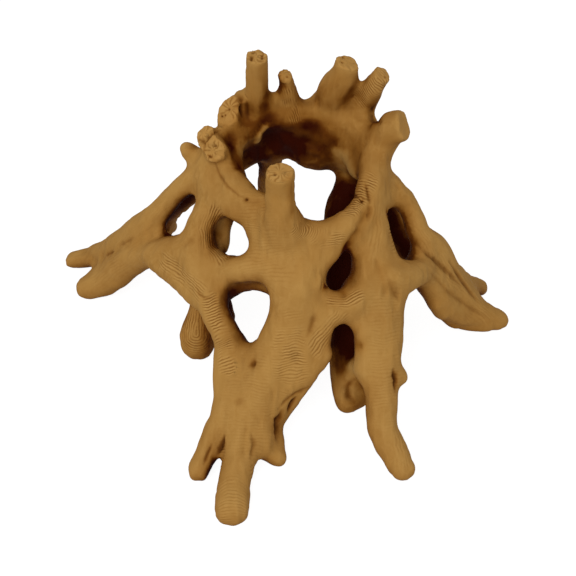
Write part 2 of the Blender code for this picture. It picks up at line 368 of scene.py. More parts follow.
class Flow:
    """Which way the wood grows: from the roots' toes up to the sawn ends.

    It is the heat that would settle in the solid's skin if the toes were kept at
    0 and the sawn ends at 1, so it follows every limb and splits where they fork.
    """

    SHORTEST_EDGE = 0.3
    LEAST_SQUARE = 0.1
    SOFTEN_STEPS = 4

    def __init__(self, coarse: Surface, ends: np.ndarray, toe_height: float) -> None:
        """Solves for the settled heat.

        Args:
            coarse: A mesh of a few thousand vertices.
            ends: True at the vertices of sawn ends.
            toe_height: Vertices below this height are toes, in millimetres.
        """
        toes = (coarse.places[:, 2] < toe_height) & ~ends
        fixed = toes | ends
        count = len(coarse.places)
        matrix = np.zeros((count, count))
        edges = coarse.places[coarse.first] - coarse.places[coarse.second]
        pull = 1 / np.maximum(np.linalg.norm(edges, axis=1), self.SHORTEST_EDGE)
        np.add.at(matrix, (coarse.first, coarse.second), -pull)
        np.add.at(matrix, (coarse.first, coarse.first), pull)
        matrix[fixed] = 0
        matrix[fixed, fixed] = 1
        self.heat = np.linalg.solve(matrix, ends.astype(float))
        self.coarse = coarse

    def directions(self) -> np.ndarray:
        """Follows the heat uphill and smooths the result.

        Returns:
            The direction of growth at each coarse vertex.
        """
        coarse = self.coarse
        step = coarse.places[coarse.second] - coarse.places[coarse.first]
        square = np.maximum((step**2).sum(axis=1), self.LEAST_SQUARE)
        rise = (self.heat[coarse.second] - self.heat[coarse.first]) / square
        pull = step * rise[:, None]
        count = len(coarse.places)
        slope = np.stack([np.bincount(coarse.first, column, count) for column in pull.T], axis=1)
        slope = coarse.blur(unit(slope), self.SOFTEN_STEPS)
        slope -= coarse.normals * (slope * coarse.normals).sum(axis=1, keepdims=True)
        return unit(slope)


class Run(enum.Enum):
    """Which way the ripples of a patch run, beside the path that places it."""

    ACROSS = "across"
    ALONG = "along"
    ROUND = "round"


@dataclass(frozen=True)
class Ripples:
    """A patch of fine parallel lines, where growth layers come to the surface.

    Its path is in pixels of the picture. The bow bends lines that run across it.
    """

    path: tuple[Pixel, ...]
    half_width: float
    run: Run = Run.ACROSS
    spacing: float = 1.8
    depth: float = 0.22
    bow: float = 0.0
    sway: float = 0.6


@dataclass(frozen=True)
class Groove:
    """A crease, seam or crack along a path in the picture, or a pit at a single point."""

    path: tuple[Pixel, ...]
    width: float
    depth: float
    # How darkly shade is painted into the groove.
    recess_shade: float = 0.5


@dataclass(frozen=True)
class Dent:
    """A soft dip along a path in the picture, or a swelling where the depth is negative.

    The last number is painted shade: how much more shade is painted on the place than its rays give
    it. Where it is negative, it is painted light, for light that reaches the place through an
    opening.
    """

    path: tuple[Pixel, ...]
    radius: float
    depth: float
    painted_shade: float = 0.0


@dataclass(frozen=True)
class SawnEnd:
    """A limb that was cut across: the middle of its face, which way it faces, its radius.

    A worn end has lost its flat face.
    """

    name: str
    middle: Point
    facing: Point
    radius: float
    fan_lines: int = 9
    worn: bool = False

    SIDEWAYS = (0.3, 0.9, 0.2)
    RIM_SHARE = 1.7

    def split(self, points: np.ndarray) -> tuple[np.ndarray, np.ndarray, np.ndarray]:
        """Measures points against the cut.

        Args:
            points: Places to measure.

        Returns:
            Two distances across the face, and the height above it.
        """
        facing = unit(np.array(self.facing))
        side = unit(np.cross(facing, self.SIDEWAYS))
        offset = points - np.array(self.middle)
        return offset @ side, offset @ np.cross(facing, side), offset @ facing

    def on_face(self, surface: Surface, slack: float, tilt: float) -> np.ndarray:
        """Finds the vertices of the sawn face.

        Args:
            surface: The surface.
            slack: How far from the cut's plane a vertex may lie.
            tilt: Least cosine between its normal and the cut's.

        Returns:
            Their numbers.
        """
        across, up, height = self.split(surface.places)
        within = np.hypot(across, up) < self.radius * self.RIM_SHARE
        facing = surface.normals @ unit(np.array(self.facing)) > tilt
        return np.flatnonzero((np.abs(height) < slack) & within & facing)


# Every stub's cut, in the frame's axes: middle and facing, then its radius.
SAWN_ENDS = (
    SawnEnd("tall", (-11.7, 59.2, 168.0), (0.05, -0.12, 1.0), 5.9, 9),
    SawnEnd("slim", (3.1, 65.2, 152.0), (0.0, -0.45, 0.9), 3.8, 6),
    SawnEnd("broad", (35.5, 62.2, 162.0), (0.3, -0.1, 1.0), 6.0, 8),
    SawnEnd("leaning", (55.5, 63.2, 155.0), (0.6, -0.25, 0.8), 4.8, 7),
    SawnEnd("right", (66.5, 42.2, 136.0), (0.85, -0.3, 0.42), 8.4, worn=True),
    SawnEnd("front", (0.5, -5.8, 143.0), (0.0, -0.06, 1.0), 7.1, 11),
    SawnEnd("left_low", (-40.5, 44.2, 128.0), (-0.45, -0.35, 0.8), 6.0, 8),
    SawnEnd("left_front", (-35.5, 35.2, 125.0), (-0.3, -0.55, 0.78), 6.0, 9),
    SawnEnd("left_back", (-27.5, 58.2, 136.0), (-0.35, -0.6, 0.72), 5.8, 9),
    SawnEnd("behind_left", (-15.5, 90.2, 113.0), (-0.1, 0.95, 0.3), 5.2, 8),
    SawnEnd("behind_right", (56.5, 86.2, 101.0), (0.5, 0.85, 0.1), 5.2, 8),
)

# What the photograph shows on the wood. Paths are in its pixels, and every
# width, spacing, radius and depth is in millimetres on the wood.
RIPPLES = (
    # The strand left of the lower window, and the front root below it.
    Ripples(((209, 300), (216, 322), (223, 343), (228, 368)), 4.6, spacing=1.6, depth=0.28),
    Ripples(((289, 340), (289, 356), (290, 372)), 9.0, spacing=1.55, depth=0.26, sway=0.7),
    Ripples(((290, 372), (286, 386)), 6.0, spacing=1.7, depth=0.12),
    Ripples(((286, 318), (288, 336)), 8.0, spacing=1.7, depth=0.10),
    # Beside the arch, on the front toe and on the inner left foot.
    Ripples(((316, 346), (326, 332), (338, 320)), 5.5, Run.ALONG, 1.6, 0.20),
    Ripples(((233, 490), (232, 524)), 9.0, spacing=1.8, depth=0.10, bow=-3.0, sway=0.4),
    Ripples(((198, 312), (196, 334)), 13.0, Run.ROUND, 1.7, 0.22, sway=0.7),
    # The left shoulder, round the upper window, and under the slot.
    Ripples(((166, 262), (182, 274), (198, 292)), 5.5, Run.ALONG, 1.6, 0.17),
    Ripples(((216, 212), (209, 228), (211, 246), (222, 258)), 5.0, Run.ALONG, 1.25, 0.26),
    Ripples(((334, 301), (346, 301), (358, 296)), 3.6, Run.ALONG, 1.4, 0.26),
    # The rim on both sides of the front stub.
    Ripples(((298, 230), (312, 234), (322, 236)), 4.6, Run.ACROSS, 1.4, 0.22, bow=1.6, sway=1.0),
    Ripples(((324, 240), (338, 238)), 4.0, Run.ALONG, 1.4, 0.20, sway=1.0),
    Ripples(((248, 228), (262, 230)), 3.6, Run.ALONG, 1.4, 0.16),
    # The slim and the leaning stub, and the worn right rim.
    Ripples(((287, 92), (290, 104), (294, 118)), 3.6, Run.ALONG, 1.2, 0.26, sway=0.9),
    Ripples(((386, 76), (374, 88), (362, 99)), 5.0, Run.ACROSS, 1.4, 0.20),
    Ripples(((366, 182), (358, 196), (350, 208)), 5.5, Run.ACROSS, 1.5, 0.34, sway=1.1),
    # Faint lines on the roots.
    Ripples(((244, 398), (243, 412)), 4.0, Run.ACROSS, 1.6, 0.10),
    Ripples(((378, 206), (376, 230), (372, 256)), 5.0, Run.ALONG, 2.2, 0.06),
    Ripples(((424, 272), (444, 292), (466, 308)), 5.0, Run.ALONG, 2.2, 0.07),
    Ripples(((136, 234), (152, 228)), 5.0, Run.ALONG, 2.2, 0.07),
    Ripples(((398, 434), (404, 462)), 4.0, Run.ALONG, 2.0, 0.08),
    # Broad fields that barely show.
    Ripples(((262, 226), (264, 262), (268, 300)), 20.0, Run.ACROSS, 1.8, 0.06),
    Ripples(((254, 372), (250, 400), (250, 430)), 17.0, Run.ACROSS, 1.7, 0.06),
    Ripples(((386, 300), (386, 350), (390, 410)), 12.0, Run.ACROSS, 1.8, 0.06),
    Ripples(((160, 222), (130, 250), (100, 275)), 11.0, Run.ALONG, 1.8, 0.05),
    Ripples(((414, 240), (446, 280), (480, 312)), 11.0, Run.ALONG, 1.8, 0.06),
)

GROOVES = (
    # Each groove: path, width, depth, and how darkly shade is painted into it.
    # The seam from the left shoulder to the front stub, and its pit.
    Groove(((214, 160), (219, 174), (227, 186), (238, 195), (246, 199)), 0.8, 0.6, 0.3),
    Groove(((246, 200), (254, 202), (263, 200)), 1.6, 0.5, 0.15),
    Groove(((246.5, 199.8),), 0.8, 0.9, 0.9),
    # Folds beside the tall stub, and pits in the cut left of it.
    Groove(((238, 94), (241, 104), (243, 116)), 1.4, 2.2, 0.6),
    Groove(((246, 102), (247, 110), (248, 118)), 1.3, 1.2, 0.6),
    Groove(((222, 116),), 0.7, 0.7, 0.9),
    Groove(((225, 115),), 0.5, 0.6, 0.7),
    # Folds and a crack among the cuts on the left shoulder.
    Groove(((204, 152), (205, 142), (211, 134), (221, 130)), 1.0, 1.2, 0.45),
    Groove(((208, 155), (212, 158)), 0.6, 0.7, 0.7),
    Groove(((196, 138), (203, 141), (206, 146)), 1.0, 0.8, 0.4),
    # The worn right rim.
    Groove(((365, 184), (368, 194), (370, 203)), 0.9, 1.3, 0.5),
    Groove(((351, 195), (358, 197), (363, 203)), 1.0, 1.6, 0.6),
    Groove(((361.5, 200.5),), 0.9, 1.1, 0.9),
    Groove(((368, 203), (371, 212), (369, 222)), 1.2, 0.8, 0.25),
    # The front root: folds, pits, and the hollows down its right side.
    Groove(((315, 314), (312, 324), (308, 336)), 1.5, 0.9, 0.3),
    Groove(((252.5, 363.3),), 2.0, 1.4, 0.7),
    Groove(((238, 398), (240, 405)), 2.2, 0.3, 0.22),
    Groove(((310, 387), (297, 393), (285, 402), (279, 409)), 1.2, 1.0, 0.35),
    Groove(((296, 398), (292, 404), (289, 412)), 1.3, 2.0, 0.9),
    Groove(((282, 413), (279, 424), (277, 437)), 2.8, 3.6, 1.0),
    # Between the front toes.
    Groove(((252, 434), (254, 444), (251, 458)), 1.6, 1.0, 0.3),
    Groove(((224, 436), (221, 446), (217, 456)), 1.2, 1.6, 0.7),
    Groove(((212, 444), (208, 454), (204, 464)), 0.9, 1.2, 0.5),
    # The left strand, the right front root and the left root.
    Groove(((196, 287), (199, 294), (204, 298), (213, 298)), 0.9, 0.6, 0.3),
    Groove(((388, 277), (392, 288), (399, 300)), 1.8, 1.1, 0.25),
    Groove(((118, 245), (124, 242), (132, 238)), 1.3, 0.8, 0.25),
    Groove(((104, 255), (108, 253), (112, 251)), 1.1, 0.8, 0.35),
    Groove(((182, 247), (188, 243), (194, 237)), 1.8, 0.8, 0.15),
    # The inner right foot, the nub, and the long folds of the right root.
    Groove(((353, 380), (347, 386), (348, 395), (353, 400)), 2.0, 2.2, 0.5),
    Groove(((394, 370), (397, 380), (396, 391)), 1.9, 2.2, 0.85),
    Groove(((413, 243), (430, 256), (446, 270), (462, 286)), 1.5, 1.3, 0.3),
    Groove(((450, 262), (462, 280), (474, 296), (480, 303)), 1.4, 1.3, 0.35),
    Groove(((430, 272), (446, 290), (470, 308), (490, 320)), 1.4, 0.9, 0.2),
    # The right stub, and pits and cracks in the other cuts.
    Groove(((372, 108), (377, 116)), 1.0, 1.0, 0.5),
    Groove(((343, 58),), 0.6, 0.5, 0.7),
    Groove(((252, 56), (251, 61)), 0.7, 1.0, 0.7),
    Groove(((262, 55), (262, 59)), 0.6, 0.9, 0.6),
    Groove(((283, 82), (285, 88)), 1.6, 1.4, 0.5),
)

DENTS = (
    # Painted shade inside the crown, and painted light on its ledges.
    Dent(((268, 130), (275, 144), (284, 154)), 6.5, 2.6, 0.26),
    Dent(((306, 142), (318, 148), (330, 152)), 5.5, 2.0, 0.20),
    Dent(((288, 136), (298, 150)), 5.0, 1.2, 0.22),
    Dent(((252, 150), (262, 160)), 5.0, 0.0, 0.20),
    Dent(((264, 106), (265, 114), (262, 124)), 5.4, 0.0, 0.25),
    Dent(((245, 108), (246, 122), (246, 132)), 5.6, 0.0, 0.21),
    Dent(((274, 118), (286, 125), (300, 125), (312, 125)), 4.8, 0.0, 0.17),
    Dent(((306, 128), (318, 133), (332, 139), (342, 149)), 4.2, 0.0, 0.15),
    Dent(((236, 155), (243, 150)), 3.6, 0.0, -0.16),
    Dent(((341, 166), (345, 174)), 3.4, 0.0, -0.20),
    Dent(((286, 112), (300, 114), (308, 116)), 4.2, 0.0, 0.12),
    Dent(((320, 123), (334, 124)), 3.6, 0.0, 0.13),
    Dent(((334, 147), (340, 148)), 3.0, 0.0, 0.12),
    Dent(((237, 124),), 3.4, 0.0, 0.14),
    # Dips and swellings of the roots, the face and the stubs, some with painted shade and one with
    # painted light.
    Dent(((446, 323), (462, 329), (478, 328)), 3.6, 1.4, 0.0),
    Dent(((436, 306), (441, 314)), 4.4, -2.6, 0.0),
    Dent(((263, 200), (263, 222), (264, 244)), 3.4, -1.5, -0.04),
    Dent(((377, 262), (381, 276), (386, 292)), 2.2, 1.0, 0.10),
    Dent(((362, 262), (366, 284)), 4.0, -1.0, 0.0),
    Dent(((404, 114), (412, 126)), 4.0, 0.8, 0.0),
    Dent(((375, 118), (379, 122)), 2.2, 1.4, 0.12),
    Dent(((300, 250), (302, 290)), 3.0, -0.9, 0.0),
    # Light and shade seen through the openings.
    Dent(((258, 163), (259, 186)), 2.6, 0.0, 0.20),
    Dent(((330, 364), (334, 352)), 3.0, 0.0, -0.10),
    Dent(((352, 366), (362, 372)), 3.4, -1.0, -0.20),
    # More dips and swellings, with a little painted shade.
    Dent(((160, 244), (134, 256), (112, 270)), 5.0, -0.8, 0.0),
    Dent(((306, 120), (322, 130), (334, 143)), 6.0, 0.0, 0.05),
    Dent(((84, 250), (96, 262)), 3.0, 0.9, 0.04),
    Dent(((246, 430), (243, 452)), 2.2, 0.8, 0.06),
    Dent(((276, 262), (280, 290)), 3.4, 0.7, 0.03),
    # How shaded the stubs, the roots and what the windows show look.
    Dent(((334, 98), (342, 78)), 6.5, 0.0, 0.12),
    Dent(((229, 108),), 5.0, 0.0, 0.08),
    Dent(((276, 184), (277, 214)), 7.5, 0.0, 0.13),
    Dent(((290, 178), (291, 196), (292, 212)), 2.6, 0.0, 0.24),
    Dent(((236, 214),), 7.0, 0.0, 0.09),
    Dent(((284, 226), (304, 224)), 5.0, 0.0, 0.08),
    Dent(((134, 242), (150, 224), (158, 208)), 7.5, 0.0, 0.11),
    Dent(((186, 316), (184, 332), (188, 346)), 4.5, 0.0, 0.14),
    Dent(((193, 334), (194, 348)), 3.6, 0.0, -0.20),
    Dent(((220, 243), (221, 256)), 3.0, 0.0, -0.26),
    Dent(((346, 250), (343, 256)), 3.0, 1.0, 0.34),
    Dent(((374, 200), (376, 222)), 4.5, 0.0, 0.12),
    Dent(((388, 212), (390, 224)), 3.0, 1.0, 0.40),
    Dent(((402, 194), (412, 204)), 5.0, 0.0, 0.12),
    Dent(((350, 392), (358, 394)), 4.0, 0.0, -0.22),
    Dent(((332, 372), (336, 380)), 4.0, 0.0, -0.14),
    Dent(((360, 346),), 3.0, 1.0, 0.26),
    # Ledges and strands inside the crown and the windows, most with painted light, two with painted
    # shade.
    Dent(((308, 150), (316, 152)), 2.6, -1.2, -0.05),
    Dent(((258, 141), (262, 134), (266, 129)), 2.2, -1.4, -0.45),
    Dent(((338, 151), (346, 157), (351, 170)), 4.4, -1.2, -0.60),
    Dent(((221, 222), (225, 234), (230, 246)), 4.0, 0.0, -0.34),
    Dent(((158, 222), (172, 206)), 5.0, 0.0, -0.16),
    Dent(((232, 293), (229, 306)), 4.0, 0.0, 0.20),
    Dent(((324, 286), (328, 277), (334, 264)), 2.8, -0.8, 0.40),
    Dent(((318, 286), (321, 278)), 2.4, -1.0, 0.0),
    # Shaded dips and light swellings of the rim, the face and the feet.
    Dent(((230, 138), (234, 152), (238, 166)), 4.5, 1.0, 0.34),
    Dent(((295, 184), (297, 200), (301, 214)), 2.6, 0.5, 0.14),
    Dent(((256, 208), (268, 206)), 5.0, 0.6, 0.05),
    Dent(((320, 250), (318, 276), (313, 300)), 5.0, 0.9, 0.05),
    Dent(((367, 214), (360, 230), (350, 244)), 3.6, 2.0, 0.30),
    Dent(((397, 185),), 3.0, 0.9, 0.05),
    Dent(((214, 145),), 3.4, 1.4, 0.05),
    Dent(((208, 159), (216, 161), (223, 157)), 1.8, -0.8, 0.0),
    Dent(((358, 364), (350, 378), (343, 392)), 5.0, -0.8, -0.25),
    Dent(((352, 352), (346, 330)), 5.0, 1.5, 0.15),
    Dent(((328, 334), (328, 350)), 5.0, -1.6, 0.0),
    Dent(((178, 229), (152, 238), (124, 246), (102, 257)), 3.6, 1.2, 0.06),
    Dent(((262, 352), (248, 362), (238, 376)), 6.0, 0.5, 0.0),
    Dent(((284, 74), (285, 96)), 4.2, -1.3, 0.05),
    Dent(((344, 295),), 3.0, 1.2, 0.10),
    Dent(((252, 96), (250, 76)), 5.0, 0.0, 0.04),
    Dent(((262, 66), (266, 96)), 2.4, 0.2, 0.14),
)


@dataclass
class FineMesh:
    """Sizes of an even mesh that is drawn over the solid, in millimetres."""

    voxel: float = 0.62
    relax_steps: int = 16
    relax_inward: float = 0.53
    relax_outward: float = 0.55
    triangle_limit: int = 192_000
    merge: float = 0.01

    def copy_of_node(self) -> bpy.types.Mesh:
        """Copies the CAD solid's mesh and joins its loose triangles.

        Returns:
            The joined mesh.
        """
        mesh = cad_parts[NODE].data.copy()
        mesh.name = PIECE + "_base"
        mesh.materials.clear()
        work = bmesh.new()
        work.from_mesh(mesh)
        bmesh.ops.remove_doubles(work, verts=work.verts, dist=self.merge * METRES)
        work.to_mesh(mesh)
        work.free()
        return mesh

    def refined(self, base: bpy.types.Mesh) -> bpy.types.Mesh:
        """Draws an even mesh over a closed one.

        Args:
            base: The closed mesh.

        Returns:
            The even mesh.
        """
        holder = bpy.data.objects.new("holder", base.copy())
        bpy.context.scene.collection.objects.link(holder)
        remesh = holder.modifiers.new("even", "REMESH")
        remesh.mode = "VOXEL"
        remesh.voxel_size = self.voxel * METRES
        mesh = finished_mesh(holder)
        bpy.data.objects.remove(holder)
        return mesh

    def thinned(self, fine: bpy.types.Mesh) -> bpy.types.Mesh:
        """Takes triangles away where the surface is smooth, and keeps them where it is rippled.

        Args:
            fine: The carved mesh.

        Returns:
            A mesh of at most about triangle_limit triangles.
        """
        holder = bpy.data.objects.new("holder", fine)
        bpy.context.scene.collection.objects.link(holder)
        triangles = sum(len(face.vertices) - 2 for face in fine.polygons)
        if triangles > self.triangle_limit:
            thin = holder.modifiers.new("thin", "DECIMATE")
            thin.ratio = self.triangle_limit / triangles
        mesh = finished_mesh(holder)
        bpy.data.objects.remove(holder)
        return mesh


def finished_mesh(holder: bpy.types.Object) -> bpy.types.Mesh:
    """Applies an object's modifiers.

    Args:
        holder: An object in the scene.

    Returns:
        A new mesh.
    """
    graph = bpy.context.evaluated_depsgraph_get()
    return bpy.data.meshes.new_from_object(holder.evaluated_get(graph))


@dataclass
class Hollows:
    """How far each place is closed off from the open air; the material paints shade into the wood
    by it.
    """

    rays: int = 40
    reach: float = 75.0
    lift: float = 0.6
    floor_share: float = 0.5
    upright: float = 0.9

    def directions(self) -> np.ndarray:
        """Spreads directions over a half sphere, thicker round its pole as light counts.

        Returns:
            One direction in each row, round +Z.
        """
        golden_turn = math.pi * (3 - math.sqrt(5))
        steps = np.arange(self.rays)
        angle = golden_turn * steps
        radius = np.sqrt((steps + 0.5) / self.rays)
        height = np.sqrt(1 - radius**2)
        return np.stack((radius * np.cos(angle), radius * np.sin(angle), height), axis=1)

    def measure(self, surface: Surface, tree: BVHTree) -> np.ndarray:
        """Casts rays from each vertex. The floor stops a share of those that reach it.

        Args:
            surface: The mesh whose vertices are tested.
            tree: Search tree of what may stand in the way.

        Returns:
            A value from 0 in the open to 1 where every ray is stopped.
        """
        spread = self.directions()
        steep = np.abs(surface.normals[:, 2:3]) > self.upright
        side = unit(np.cross(surface.normals, np.where(steep, (1.0, 0.0, 0.0), (0.0, 0.0, 1.0))))
        other = np.cross(surface.normals, side)
        blocked = np.zeros(len(surface.places))
        starts = surface.places + surface.normals * self.lift
        for row, start in enumerate(starts):
            level = spread[:, :1] * side[row] + spread[:, 1:2] * other[row]
            ways = level + spread[:, 2:] * surface.normals[row]
            origin = Vector(start)
            for way in ways.tolist():
                if tree.ray_cast(origin, way, self.reach)[0] is not None:
                    blocked[row] += 1
                elif way[2] < 0 and start[2] / -way[2] < self.reach:
                    blocked[row] += self.floor_share
        return blocked / self.rays


class Combs:
    """All the sets of fine lines in the wood, kept so that every mesh of it is lined alike.

    FULL_DEPTH is the depth of a patch at full strength, and PRESS the height that
    the mesh itself then gets. The rest is drawn by the material.
    """

    FULL_DEPTH = 0.3
    PRESS = 0.26
    SHARPNESS = 1.5
    MEAN_LINE = 0.45
    FADE_START = 0.45
    FADE_END = 1.5
    SWAY_SIZE = 8.0
    PATCH_SIZE = 5.0
    FAINTEST = 0.15
    FAN_STRENGTH = 0.62
    FAN_SWAY = 0.7
    FAN_SWAY_SIZE = 4.0
    FAN_PATCH_SIZE = 3.5
    FAN_FAINTEST = 0.3

    def __init__(self) -> None:
        """Starts without lines."""
        self.sway = Lattice(SWAY_SEED)
        self.patch = Lattice(PATCH_SEED)
        self.laid: list[tuple[Ripples, np.ndarray, np.ndarray]] = []
        self.fans: list[tuple[SawnEnd, np.ndarray]] = []

    def measure(self, surface: Surface) -> tuple[np.ndarray, np.ndarray]:
        """Finds the lines at each vertex. Where two sets meet, both fade out.

        Args:
            surface: Any mesh of the stump.

        Returns:
            How many lines have been passed there, and how strong they are, from 0 to about 1.
        """
        turns = np.zeros(len(surface.places))
        strength = np.zeros(len(surface.places))
        runner_up = np.zeros(len(surface.places))
        parts = [self.patch_lines(surface, *laid) for laid in self.laid]
        parts += [self.fan_lines(surface, *fan) for fan in self.fans]
        for rows, passed, share in parts:
            stronger = share > strength[rows]
            beaten = np.where(stronger, strength[rows], share)
            runner_up[rows] = np.maximum(runner_up[rows], beaten)
            turns[rows[stronger]] = passed[stronger]
            strength[rows[stronger]] = share[stronger]
        return turns, strength - runner_up

    def patch_lines(
        self, surface: Surface, patch: Ripples, places: np.ndarray, normal: np.ndarray
    ) -> tuple[np.ndarray, np.ndarray, np.ndarray]:
        """Measures one patch of ripples.

        Args:
            surface: Any mesh of the stump.
            patch: The ripples.
            places: Where their path lies on the wood.
            normal: The way the wood faces there.

        Returns:
            The vertices touched, the lines passed and their strength.
        """
        reach = patch.half_width * self.FADE_END
        rows = surface.near(places, normal, reach)
        points = surface.places[rows]
        away, along, lateral = beside(points, places, normal)
        if patch.run is Run.ACROSS:
            travel = along + patch.bow * (lateral / patch.half_width) ** 2
        elif patch.run is Run.ALONG:
            travel = lateral
        else:
            travel = away
        bend = self.sway.layered(points, self.SWAY_SIZE, 3) * patch.sway * patch.spacing
        kept = ease(self.patch.layered(points, self.PATCH_SIZE, 3), -0.75, 0.25)
        broken = self.FAINTEST + (1 - self.FAINTEST) * kept
        inside = ease(away, reach, patch.half_width * self.FADE_START)
        share = inside * broken * patch.depth / self.FULL_DEPTH
        return rows, (travel + bend) / patch.spacing, share

    def fan_lines(
        self, surface: Surface, end: SawnEnd, heart: np.ndarray
    ) -> tuple[np.ndarray, np.ndarray, np.ndarray]:
        """Measures the lines that spread from the heart of a sawn end.

        Args:
            surface: Any mesh of the stump.
            end: The sawn end.
            heart: Where the lines meet, across the face.

        Returns:
            The vertices touched, the lines passed and their strength.
        """
        rows = end.on_face(surface, FACE_SLACK, FACE_TILT)
        points = surface.places[rows]
        across, up, _ = end.split(points)
        angle = np.arctan2(up - heart[1], across - heart[0])
        around = np.hypot(across - heart[0], up - heart[1]) / end.radius
        sway = self.FAN_SWAY * self.sway.layered(points, self.FAN_SWAY_SIZE, 2)
        turns = angle / (2 * math.pi) * end.fan_lines + sway
        seam = ease(math.pi - np.abs(angle), 0.05, 0.35)
        ring = ease(around, 0.1, 0.4) * ease(around, 1.3, 0.95)
        kept = ease(self.patch.at(points, self.FAN_PATCH_SIZE), -0.5, 0.4)
        broken = self.FAN_FAINTEST + (1 - self.FAN_FAINTEST) * kept
        return rows, turns, self.FAN_STRENGTH * seam * ring * broken

    def relief(self, surface: Surface) -> np.ndarray:
        """Turns the lines into height.

        Args:
            surface: Any mesh of the stump.

        Returns:
            The height that they add to each vertex, in millimetres.
        """
        turns, strength = self.measure(surface)
        line = (0.5 + 0.5 * np.cos(turns * 2 * math.pi)) ** self.SHARPNESS
        return self.PRESS * strength * (self.MEAN_LINE - line)


